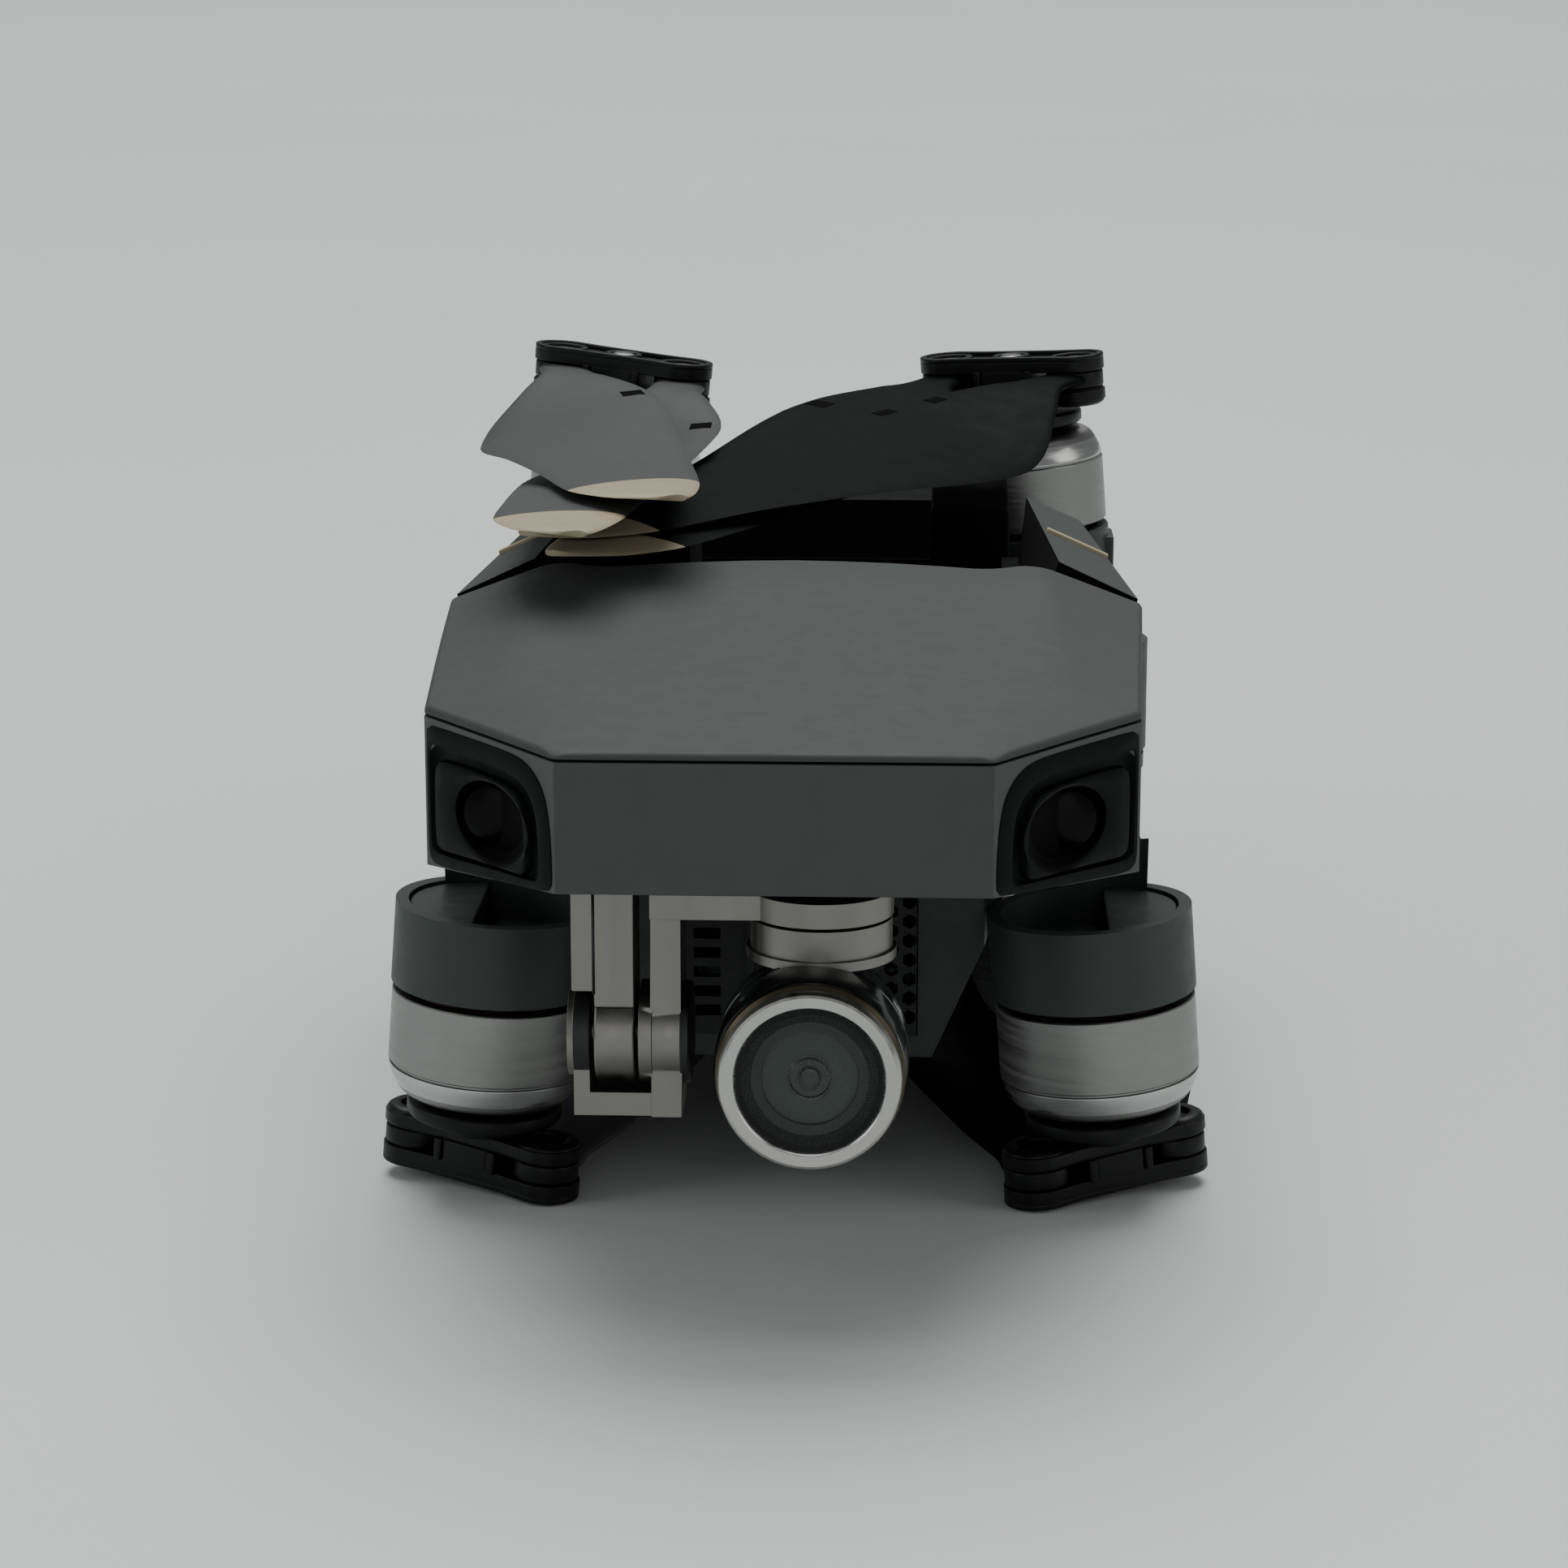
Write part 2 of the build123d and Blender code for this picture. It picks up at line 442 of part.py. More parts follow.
def motor_parts(kind, side):
    pl = motor_plane(kind, side)
    cup = at(pl, -CUP_H, -0.3, CUP_R) - at(pl, -CUP_H - 1, 1, 9.5)
    cup = cup + (at(pl, -5.0, -3.2, 9.6) - at(pl, -6, -2, 1.9))
    stator = at(pl, -3.2, 8.2, 8.4) - at(pl, -4, 9, 1.9)
    bell_prof = [(0, -2.6), (1.6, -2.6), (1.6, 10.9), (9.3, 10.9), (9.3, 0.5), (BELL_R, 0.5), (BELL_R, 9.9), (10.35, 10.1),
                 (10.35, 10.5), (8.9, 12.6), (0, 12.6)]
    bf = make_face(Polyline(*[(x, 0, z) for x, z in bell_prof], close=True))
    bell = pl.location * revolve(bf, axis=Axis.Z, revolution_arc=360)
    return cup, solid_of(stator), solid_of(bell)


# hub rotation about its own axis, degrees, in the world plan (direction of the bar)
HUB_BAR = {("front", 1): -23.6, ("front", -1): -23.6, ("rear", 1): 28.8, ("rear", -1): 180 - 28.8}
# direction of each folded blade in plan: angle from +X, degrees
BLADE_DIR = {
    ("front", -1): {"a": -80.0, "b": -95.0},
    ("front", 1): {"a": -127.5, "b": -114.0},
    ("rear", 1): {"a": 102.0, "b": 100.5},
    ("rear", -1): {"a": 78.0, "b": 79.5},
}
# which end of the bar each blade sits on: +1 is the end that the bar direction points to
BLADE_END = {("front", -1): {"a": -1, "b": 1}, ("front", 1): {"a": 1, "b": -1},
             ("rear", 1): {"a": 1, "b": -1}, ("rear", -1): {"a": 1, "b": -1}}
# set of a blade out of the hub plane at 28 mm, at 72 mm and at its tip, along the hub axis (mm)
BLADE_BEND = {("front", -1): {"a": (-2.2, -0.9, 0.0), "b": (-4.3, -2.9, -3.1)},
              ("front", 1): {"a": (-3.0, -2.6, -2.9), "b": (-2.2, -4.3, -4.4)},
              ("rear", 1): {"a": (-3.0, -3.2, -3.4), "b": (-3.8, -4.6, -4.6)},
              ("rear", -1): {"a": (-3.0, -3.2, -3.4), "b": (-3.8, -4.6, -4.6)}}
# the leading edge lies to the left (+1) or right (-1) of the blade, seen along it from the hub side
BLADE_HAND = {("front", -1): 1, ("front", 1): -1, ("rear", 1): 1, ("rear", -1): -1}


def to_local(pl, v):
    """World direction projected into the plane of a motor, as a unit (x, y)."""
    x = v[0] * pl.x_dir.X + v[1] * pl.x_dir.Y
    yd = pl.y_dir
    y = v[0] * yd.X + v[1] * yd.Y
    n = sqrt(x * x + y * y)
    return x / n, y / n


def hub_ends(kind, side):
    pl = motor_plane(kind, side)
    a = radians(HUB_BAR[(kind, side)])
    bx, by = to_local(pl, (cos(a), sin(a)))
    return pl, bx, by


def make_hub(kind, side):
    pl, bx, by = hub_ends(kind, side)
    ang = degrees(atan2(by, bx))
    h = at(pl, 12.75, 14.6, 8.4) + at(pl, 14.5, 16.4, 4.8) + at(pl, 16.2, HUB_TOP, 3.1)
    bar = SlotCenterToCenter(HUB_CC, HUB_BOSS_R * 2)
    h = h + extrude(pl.offset(16.0) * Rot(0, 0, ang) * bar, 1.6) + extrude(pl.offset(19.9) * Rot(0, 0, ang) * bar, HUB_TOP - 19.9)
    for e in (1, -1):
        h = h + at(pl, 16.4, HUB_TOP - 0.2, PIN_R, e * bx * HUB_CC / 2, e * by * HUB_CC / 2)
    return solid_of(h)


# blade stations: distance from pivot, chord, twist (deg), thickness, middle of the chord towards the leading edge
STATIONS = [(-3.0, 3.6, 0.0, 1.8, 0.0), (2.0, 6.4, 0.0, 1.8, 0.0), (7.5, 7.0, 3.0, 1.8, 0.0), (13.0, 12.0, 13.0, 1.8, -0.6), (23.0, 20.5, 19.0, 1.7, -1.4), (34.0, 22.5, 18.0, 1.5, -1.6),
            (52.0, 19.8, 13.0, 1.3, -0.8), (72.0, 16.6, 9.0, 1.15, 0.0), (88.0, 14.0, 6.5, 1.0, 0.4), (BLADE_L, 9.5, 5.0, 0.9, 1.2)]


def make_blade(kind, side, which):
    pl, bx, by = hub_ends(kind, side)
    e = BLADE_END[(kind, side)][which]
    px, py = e * bx * HUB_CC / 2, e * by * HUB_CC / 2
    a = radians(BLADE_DIR[(kind, side)][which])
    dx, dy = to_local(pl, (cos(a), sin(a)))
    hand = BLADE_HAND[(kind, side)]
    lx, ly = -dy * hand, dx * hand
    bend = BLADE_BEND[(kind, side)][which]
    zmid = 18.75
    verts = []
    m = 6
    for r, c, tw, th, off in STATIONS:
        ct, st = cos(radians(tw)), sin(radians(tw))
        q1 = min(max((r - 6) / 22.0, 0.0), 1.0)
        zc = zmid + bend[0] * q1 * q1 * (3 - 2 * q1)
        zc = zc + (bend[1] - bend[0]) * min(max((r - 28) / 44.0, 0.0), 1.0)
        zc = zc + (bend[2] - bend[1]) * max(0.0, (r - 72) / (BLADE_L - 72))
        for cu, cv in ((0.5, 0.0), (0.22, 0.5), (-0.22, 0.42), (-0.5, 0.0), (-0.22, -0.42), (0.22, -0.5)):
            w = cu * c + off
            h = cv * th
            ww = w * ct - h * st
            hh = w * st + h * ct
            x = px + dx * r + lx * ww
            y = py + dy * r + ly * ww
            q = pl.from_local_coords(Vector(x, y, zc + hh))
            verts.append((q.X, q.Y, q.Z))
    faces = []
    n = len(STATIONS)
    for i in range(n - 1):
        for k in range(m):
            k2 = (k + 1) % m
            faces.append((i * m + k, i * m + k2, (i + 1) * m + k2, (i + 1) * m + k))
    faces.append(tuple(range(m)))
    faces.append(tuple((n - 1) * m + k for k in range(m)))
    bl = poly(verts, faces)
    # round root with the pin bore
    root = at(pl, 17.8, 19.7, 3.4, px, py)
    bl = bl + root
    bl = bl - at(pl, 15, 24, PIN_R + 0.15, px, py)
    return solid_of(bl)


def capsule_z(p, q, r, z0, z1):
    """Vertical bar with round ends between two plan points."""
    L = sqrt((q[0] - p[0]) ** 2 + (q[1] - p[1]) ** 2)
    ang = degrees(atan2(q[1] - p[1], q[0] - p[0]))
    sk = Plane(origin=((p[0] + q[0]) / 2, (p[1] + q[1]) / 2, z0)) * Rot(0, 0, ang) * Rectangle(L, 2 * r)
    return extrude(sk, z1 - z0) + cyl_z(p[0], p[1], z0, z1, r) + cyl_z(q[0], q[1], z0, z1, r)


for side, tag in ((1, "right"), (-1, "left")):
    # ---- front arm
    cup, stator, bell = motor_parts("front", side)
    z0, z1 = FRONT_ARM_Z
    px, py = FRONT_PIVOT
    mx, my, mz = FRONT_MOTOR
    beam = hexahedron(
        [(28.6, -30, 46.4), (36.4, -30, 46.4), (34.2, 30, 47.6), (27.0, 30, 47.6)],
        [(28.6, -30, 57.2), (37.6, -30, 57.2), (34.6, 30, 56.2), (27.0, 30, 56.2)],
    )
    if side < 0:
        beam = mirrored(beam)
    pl = motor_plane("front", side)
    arm = cyl_z(side * px, py, z0, z1, 7.2) + beam
    inner = at(pl, -CUP_H - 1, 1, 9.5)
    arm = arm - inner
    arm = arm + cup
    # leg lug on the outer side of the cup
    lug = box(side * 34.2, side * 37.4, my - 3.4, my + 3.4, 47.6, 56.6)
    arm = arm + (lug - inner)
    arm = arm - cyl_z(side * px, py, 40, 61, 2.2)
    put(f"front_arm_{tag}", solid_of(arm))
    knee = [(37.3, my - 3.0, 12.0), (39.9, my - 3.0, 12.0), (39.9, my + 3.0, 12.0), (37.3, my + 3.0, 12.0)]
    foot = [(42.4, my - 2.6, 0.8), (45.0, my - 2.6, 0.8), (45.0, my + 2.6, 0.8), (42.4, my + 2.6, 0.8)]
    head = [(34.4, my - 3.4, 47.6), (37.4, my - 3.4, 47.6), (37.4, my + 3.4, 47.6), (34.4, my + 3.4, 47.6)]
    leg = solid_of(hexahedron(foot, knee) + hexahedron(knee, head))
    if side < 0:
        leg = mirrored(leg)
    put(f"front_leg_{tag}", leg)
    led = at(pl, -8.9, -5.2, 9.3) & (box(side * 25.5, side * 60, 20, 70, 40, 60))
    put(f"front_led_{tag}", solid_of(led))
    put(f"front_stator_{tag}", stator)
    put(f"front_bell_{tag}", bell)
    put(f"front_hub_{tag}", make_hub("front", side))
    put(f"front_blade_a_{tag}", make_blade("front", side, "a"))
    put(f"front_blade_b_{tag}", make_blade("front", side, "b"))

    # ---- rear arm
    cup, stator, bell = motor_parts("rear", side)
    pl = motor_plane("rear", side)
    hx, hy, hz = REAR_PIVOT
    hp = Plane(origin=(side * hx, hy, hz), z_dir=(side * u.X, u.Y, 0))
    barrel = extrude(hp.offset(-6.5) * Circle(6.2), 13.0)
    beam = hexahedron(
        [(27.4, -38, 24.6), (37.4, -38, 24.6), (33.0, 72, 20.6), (26.0, 72, 20.6)],
        [(28.8, -38, 35.6), (38.0, -38, 35.6), (33.0, 72, 31.8), (26.6, 72, 31.8)],
    )
    horn = hexahedron(
        [(27.6, -46, 30.4), (38.2, -46, 30.4), (37.4, -36, 25.4), (27.6, -36, 25.4)],
        [(30.0, -44, 38.0), (38.2, -44, 38.0), (38.0, -36, 35.6), (28.8, -36, 35.6)],
    )
    beam = beam + horn
    if side < 0:
        beam = mirrored(beam)
    arm = barrel + beam
    inner = at(pl, -CUP_H - 12, 1, 9.5)
    arm = arm - inner
    arm = arm + cup
    arm = arm - extrude(hp.offset(-14) * Circle(2.6), 21.0)
    put(f"rear_arm_{tag}", solid_of(arm))
    led = at(pl, -8.9, -5.2, 9.3) & (box(side * 33.4, side * 60, -70, -30, 20, 40))
    put(f"rear_led_{tag}", solid_of(led))
    put(f"rear_stator_{tag}", stator)
    put(f"rear_bell_{tag}", bell)
    put(f"rear_hub_{tag}", make_hub("rear", side))
    put(f"rear_blade_a_{tag}", make_blade("rear", side, "a"))
    put(f"rear_blade_b_{tag}", make_blade("rear", side, "b"))

# ---------------------------------------------------------------- write
os.makedirs("parts", exist_ok=True)
for name, shape in parts.items():
    export_step(shape, f"parts/{name}.step")
lo = [1e9] * 3
hi = [-1e9] * 3
for name, shape in parts.items():
    bb = shape.bounding_box()
    for i, (a, b) in enumerate(((bb.min.X, bb.max.X), (bb.min.Y, bb.max.Y), (bb.min.Z, bb.max.Z))):
        lo[i] = min(lo[i], a)
        hi[i] = max(hi[i], b)
print(len(parts), "nodes; box", [round(x, 2) for x in lo], [round(x, 2) for x in hi])
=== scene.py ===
import bpy
import bmesh
import json
from math import sin, cos, pi, radians, sqrt, atan2, hypot
from mathutils import Vector, Matrix


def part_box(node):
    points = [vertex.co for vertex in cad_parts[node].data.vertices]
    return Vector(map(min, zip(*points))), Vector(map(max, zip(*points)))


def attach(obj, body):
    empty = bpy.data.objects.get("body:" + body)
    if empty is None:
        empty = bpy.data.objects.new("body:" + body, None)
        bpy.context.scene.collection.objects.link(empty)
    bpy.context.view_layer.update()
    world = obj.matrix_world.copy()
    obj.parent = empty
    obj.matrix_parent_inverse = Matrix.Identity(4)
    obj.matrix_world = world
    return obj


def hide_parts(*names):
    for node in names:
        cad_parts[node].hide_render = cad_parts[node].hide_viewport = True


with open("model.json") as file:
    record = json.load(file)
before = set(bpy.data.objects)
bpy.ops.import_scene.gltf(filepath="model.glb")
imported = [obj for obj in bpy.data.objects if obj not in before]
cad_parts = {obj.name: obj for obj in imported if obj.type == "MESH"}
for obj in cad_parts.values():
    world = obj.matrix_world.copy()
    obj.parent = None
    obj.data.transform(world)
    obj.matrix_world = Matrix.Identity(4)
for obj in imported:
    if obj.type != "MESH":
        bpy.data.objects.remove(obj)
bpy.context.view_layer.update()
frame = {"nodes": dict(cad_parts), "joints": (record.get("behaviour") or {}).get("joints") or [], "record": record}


MM = 0.001
JOINTS = {j["name"]: j for j in frame["joints"]}
SLOT_OF = {s["node"]: s["material_slot"] for s in frame["record"]["subparts"]}
BODY_OF = {n: b for b, ns in frame["record"]["behaviour"]["bodies"].items() for n in ns}
SC = bpy.context.scene


# ================================================================ materials
def tree(name):
    m = bpy.data.materials.new(name)
    m.use_nodes = True
    nt = m.node_tree
    nt.nodes.clear()
    out = nt.nodes.new("ShaderNodeOutputMaterial")
    bs = nt.nodes.new("ShaderNodeBsdfPrincipled")
    nt.links.new(bs.outputs[0], out.inputs[0])
    return m, nt, bs


def node(nt, kind, **kw):
    n = nt.nodes.new(kind)
    for k, v in kw.items():
        setattr(n, k, v)
    return n


def coords(nt, scale=(1, 1, 1), rot=(0, 0, 0)):
    tc = nt.nodes.new("ShaderNodeTexCoord")
    mp = nt.nodes.new("ShaderNodeMapping")
    mp.inputs["Scale"].default_value = scale
    mp.inputs["Rotation"].default_value = rot
    nt.links.new(tc.outputs["Object"], mp.inputs["Vector"])
    return mp.outputs[0]


def noise(nt, vec, scale, detail=4.0, rough=0.55):
    n = nt.nodes.new("ShaderNodeTexNoise")
    n.inputs["Scale"].default_value = scale
    n.inputs["Detail"].default_value = detail
    n.inputs["Roughness"].default_value = rough
    nt.links.new(vec, n.inputs["Vector"])
    return n.outputs["Fac"]


def ramp(nt, fac, stops):
    r = nt.nodes.new("ShaderNodeValToRGB")
    el = r.color_ramp.elements
    while len(el) < len(stops):
        el.new(0.5)
    for e, (p, c) in zip(el, stops):
        e.position = p
        e.color = (c[0], c[1], c[2], 1) if len(c) == 3 else c
    nt.links.new(fac, r.inputs[0])
    return r.outputs[0]


def maprange(nt, fac, a, b, lo=0.0, hi=1.0):
    m = nt.nodes.new("ShaderNodeMapRange")
    m.inputs["From Min"].default_value = lo
    m.inputs["From Max"].default_value = hi
    m.inputs["To Min"].default_value = a
    m.inputs["To Max"].default_value = b
    nt.links.new(fac, m.inputs["Value"])
    return m.outputs[0]


def mixc(nt, fac, a, b, mode="MIX"):
    m = nt.nodes.new("ShaderNodeMix")
    m.data_type = "RGBA"
    m.blend_type = mode
    if isinstance(fac, float):
        m.inputs[0].default_value = fac
    else:
        nt.links.new(fac, m.inputs[0])
    nt.links.new(a, m.inputs[6])
    nt.links.new(b, m.inputs[7])
    return m.outputs[2]


def bump(nt, bs, height, dist, strength=1.0, prev=None):
    b = nt.nodes.new("ShaderNodeBump")
    b.inputs["Distance"].default_value = dist
    b.inputs["Strength"].default_value = strength
    nt.links.new(height, b.inputs["Height"])
    if prev is not None:
        nt.links.new(prev, b.inputs["Normal"])
    nt.links.new(b.outputs[0], bs.inputs["Normal"])
    return b.outputs[0]


def shade(c, k):
    return tuple(min(1.0, q * k) for q in c)


def plastic(name, col, rough=0.5, spec=0.5, grain=0.00003, var=0.10, rvar=0.07, scratch=0.0, gscale=5200, coat=0.0):
    """Moulded plastic: soft mottling, spark-eroded grain, a few fine rub marks."""
    m, nt, bs = tree(name)
    v = coords(nt)
    big = noise(nt, v, 38, 3, 0.6)
    mid = noise(nt, v, 420, 4, 0.6)
    c1 = ramp(nt, big, [(0.30, shade(col, 1 - var)), (0.72, shade(col, 1 + var))])
    c2 = ramp(nt, mid, [(0.35, shade(col, 1 - var * 0.6)), (0.66, shade(col, 1 + var * 0.6))])
    c = mixc(nt, 0.45, c1, c2)
    if scratch > 0:
        sv = coords(nt, (30, 900, 300), (0.3, 0.2, 0.5))
        s = noise(nt, sv, 3.0, 2, 0.5)
        sm = maprange(nt, s, 0, scratch, 0.66, 0.74)
        lite = ramp(nt, big, [(0.0, shade(col, 1.5)), (1.0, shade(col, 1.9))])
        c = mixc(nt, sm, c, lite)
    nt.links.new(c, bs.inputs["Base Color"])
    nt.links.new(maprange(nt, mid, rough - rvar, rough + rvar, 0.3, 0.7), bs.inputs["Roughness"])
    bs.inputs["Specular IOR Level"].default_value = spec
    if coat:
        bs.inputs["Coat Weight"].default_value = coat
        bs.inputs["Coat Roughness"].default_value = 0.08
    g = noise(nt, v, gscale, 2, 0.5)
    if grain > 0:
        bump(nt, bs, g, grain, 0.9)
    return m


def metal(name, col, rough=0.34, lines=(8, 8, 2600), rot=(0, 0, 0), aniso=0.5, depth=0.000004, var=0.12, pits=True):
    """Turned, drawn or bead-blasted aluminium: fine lines along one direction, slight cloudiness."""
    m, nt, bs = tree(name)
    lv = coords(nt, lines, rot)
    ln = noise(nt, lv, 1.0, 3, 0.6)
    v = coords(nt)
    big = noise(nt, v, 90, 4, 0.6)
    c1 = ramp(nt, ln, [(0.30, shade(col, 1 - var)), (0.70, shade(col, 1 + var))])
    c2 = ramp(nt, big, [(0.30, shade(col, 1 - var * 0.8)), (0.70, shade(col, 1 + var * 0.6))])
    c = mixc(nt, 0.5, c1, c2)
    nt.links.new(c, bs.inputs["Base Color"])
    bs.inputs["Metallic"].default_value = 1.0
    r = maprange(nt, ln, rough - 0.08, rough + 0.10, 0.3, 0.7)
    nt.links.new(r, bs.inputs["Roughness"])
    bs.inputs["Anisotropic"].default_value = aniso
    n1 = bump(nt, bs, ln, depth, 0.8)
    if pits:
        fine = noise(nt, v, 3600, 2, 0.5)
        bump(nt, bs, fine, depth * 1.2, 0.5, n1)
    return m


def glossy(name, col, rough=0.12, coat=0.6, dust=0.25):
    """Polished dark plastic with faint dust and finger haze."""
    m, nt, bs = tree(name)
    v = coords(nt)
    big = noise(nt, v, 60, 4, 0.6)
    fine = noise(nt, v, 2600, 2, 0.5)
    c = ramp(nt, big, [(0.3, shade(col, 0.85)), (0.75, shade(col, 1.25))])
    dm = maprange(nt, fine, 0, dust, 0.66, 0.78)
    d = ramp(nt, big, [(0.0, (0.10, 0.105, 0.10)), (1.0, (0.16, 0.165, 0.16))])
    c = mixc(nt, dm, c, d)
    nt.links.new(c, bs.inputs["Base Color"])
    nt.links.new(maprange(nt, big, rough * 0.7, rough * 1.6, 0.3, 0.7), bs.inputs["Roughness"])
    bs.inputs["Coat Weight"].default_value = coat
    bs.inputs["Coat Roughness"].default_value = 0.05
    bump(nt, bs, fine, 0.000004, 0.4)
    return m


def glassy(name, col, rough=0.03, alpha=0.25, tint_ior=1.5):
    """Coated lens glass: clear dark surface with a faint coloured coating."""
    m, nt, bs = tree(name)
    v = coords(nt)
    big = noise(nt, v, 120, 3, 0.5)
    c = ramp(nt, big, [(0.3, shade(col, 0.8)), (0.7, shade(col, 1.2))])
    nt.links.new(c, bs.inputs["Base Color"])
    nt.links.new(maprange(nt, big, rough * 0.6, rough * 1.5, 0.3, 0.7), bs.inputs["Roughness"])
    bs.inputs["IOR"].default_value = tint_ior
    bs.inputs["Alpha"].default_value = alpha
    bs.inputs["Coat Weight"].default_value = 0.5
    bs.inputs["Coat Roughness"].default_value = 0.02
    return m


def rubber(name, col):
    m, nt, bs = tree(name)
    v = coords(nt)
    a = noise(nt, v, 900, 5, 0.7)
    b = noise(nt, v, 60, 3, 0.6)
    c = mixc(nt, 0.4, ramp(nt, a, [(0.3, shade(col, 0.8)), (0.7, shade(col, 1.4))]), ramp(nt, b, [(0.3, shade(col, 0.8)), (0.8, shade(col, 1.8))]))
    nt.links.new(c, bs.inputs["Base Color"])
    nt.links.new(maprange(nt, a, 0.62, 0.85, 0.3, 0.7), bs.inputs["Roughness"])
    bump(nt, bs, a, 0.00002, 0.7)
    return m


def board(name):
    """Solder mask with copper traces and small pads."""
    m, nt, bs = tree(name)
    v = coords(nt, (1, 1, 1))
    w = node(nt, "ShaderNodeTexBrick")
    w.inputs["Scale"].default_value = 260
    w.inputs["Mortar Size"].default_value = 0.06
    nt.links.new(v, w.inputs["Vector"])
    w.inputs["Color1"].default_value = (0.015, 0.075, 0.04, 1)
    w.inputs["Color2"].default_value = (0.012, 0.06, 0.035, 1)
    w.inputs["Mortar"].default_value = (0.05, 0.16, 0.08, 1)
    nt.links.new(w.outputs["Color"], bs.inputs["Base Color"])
    n = noise(nt, v, 500, 3, 0.5)
    nt.links.new(maprange(nt, n, 0.25, 0.45, 0.3, 0.7), bs.inputs["Roughness"])
    bump(nt, bs, w.outputs["Fac"], 0.00003, 0.6)
    return m


def shaded_winding(name):
    """Enamelled copper coil, darkened almost to black: painted shade of the gap under the bell."""
    m, nt, bs = tree(name)
    v = coords(nt, (1, 1, 1))
    w = node(nt, "ShaderNodeTexWave", bands_direction="Z")
    w.inputs["Scale"].default_value = 900
    w.inputs["Distortion"].default_value = 1.2
    nt.links.new(v, w.inputs["Vector"])
    c = ramp(nt, w.outputs["Fac"], [(0.1, (0.006, 0.004, 0.003)), (0.8, (0.050, 0.024, 0.012))])
    nt.links.new(c, bs.inputs["Base Color"])
    bs.inputs["Metallic"].default_value = 0.7
    nt.links.new(maprange(nt, w.outputs["Fac"], 0.25, 0.5), bs.inputs["Roughness"])
    bump(nt, bs, w.outputs["Fac"], 0.00008, 0.8)
    return m


GREY = (0.045, 0.050, 0.0485)
M = {
    "shell_grey": plastic("shell_plastic", GREY, 0.60, 0.2, 0.000022, 0.05, 0.06, 0.06),
    "fascia_grey": plastic("fascia_plastic", (0.044, 0.051, 0.0495), 0.52, 0.35, 0.000022, 0.05, 0.06, 0.05),
    "arm_grey": plastic("arm_plastic", (0.026, 0.033, 0.0315), 0.50, 0.4, 0.000026, 0.07, 0.06, 0.10),
    "hull_grey": plastic("hull_plastic", (0.020, 0.025, 0.024), 0.46, 0.4, 0.00003, 0.10, 0.07, 0.08),
    "black_plastic": plastic("black_plastic", (0.008, 0.009, 0.009), 0.5, 0.3, 0.00003, 0.18, 0.08, 0.05),
    "gloss_black": glossy("gloss_black", (0.006, 0.007, 0.007), 0.16, 0.4, 0.10),
    "hub_black": plastic("hub_nylon", (0.0035, 0.0038, 0.0040), 0.42, 0.22, 0.00002, 0.15, 0.08, 0.10),
    "bell_silver": metal("turned_aluminium", (0.25, 0.25, 0.245), 0.38, (6, 6, 2400), (0, 0, 0), 0.5),
    "gimbal_silver": metal("anodised_aluminium", (0.205, 0.20, 0.187), 0.38, (500, 500, 30), (0, 0, 0), 0.3),
    "gimbal_black": plastic("anodised_black", (0.006, 0.0065, 0.0065), 0.42, 0.4, 0.00001, 0.15, 0.06),
    "blade_grey": plastic("blade_composite", (0.050, 0.052, 0.051), 0.5, 0.22, 0.000008, 0.05, 0.05, 0.0, 3800),
    "lens_glass": glassy("coated_glass", (0.010, 0.013, 0.013), 0.03, 0.10),
    "lens_silver": metal("lens_ring_aluminium", (0.42, 0.415, 0.40), 0.32, (700, 20, 700), (0, 0, 0), 0.4, 0.000003),
    "steel": metal("steel", (0.16, 0.16, 0.16), 0.30, (60, 60, 1500), (0, 0, 0), 0.4),
    "screw_black": plastic("black_oxide", (0.02, 0.02, 0.021), 0.34, 0.6, 0.00001, 0.2, 0.08),
    "rubber_black": rubber("rubber", (0.010, 0.010, 0.011)),
    "contact_gold": metal("plated_contact", (0.60, 0.42, 0.15), 0.25, (200, 200, 900), (0, 0, 0), 0.2),
    "board_green": board("board"),
    # stator coils darkened as painted shade in the motor gap
    "stator_copper": shaded_winding("shaded_winding"),
    "led_grey": plastic("led_cover", (0.035, 0.038, 0.037), 0.36, 0.4, 0.000006, 0.06, 0.05),
    "led_red": glossy("led_red", (0.16, 0.012, 0.010), 0.14, 0.6, 0.1),
}
M_CREAM = plastic("blade_tip_cream", (0.33, 0.28, 0.185), 0.46, 0.35, 0.000008, 0.08, 0.06, 0.0, 3800)
M_MARK = plastic("blade_mark", (0.0012, 0.0012, 0.0012), 0.7, 0.02, 0.00001, 0.1, 0.05)
# near-black copy of the blade material: painted shade for the right-hand blades
M_BLADE_SHADED = plastic("blade_composite_dark", (0.0034, 0.0040, 0.0042), 0.55, 0.035, 0.000008, 0.05, 0.05, 0.0, 3800)
M_BRONZE = metal("bronze_ring", (0.065, 0.055, 0.040), 0.30, (400, 20, 400), (0, 0, 0), 0.3)
M_WHITE = metal("shaft_end", (0.55, 0.55, 0.54), 0.22, (300, 300, 300), (0, 0, 0), 0.0)
# black of the lens baffles; also painted shade on the bell's flux ring in the motor gap
M_BLACK_AND_GAP_SHADE = plastic("baffle_black_and_gap_shade", (0.003, 0.0035, 0.0035), 0.5, 0.25, 0.000006, 0.1, 0.05)
M_GREYRING = plastic("baffle_grey", (0.030, 0.034, 0.032), 0.45, 0.3, 0.000006, 0.08, 0.05)
M_IRIS = plastic("optic_grey_green", (0.060, 0.072, 0.066), 0.40, 0.2, 0.000003, 0.06, 0.05)
M_CHROME = metal("bright_chamfer", (0.45, 0.45, 0.445), 0.22, (6, 6, 2600), (0, 0, 0), 0.6, 0.000002, 0.06)
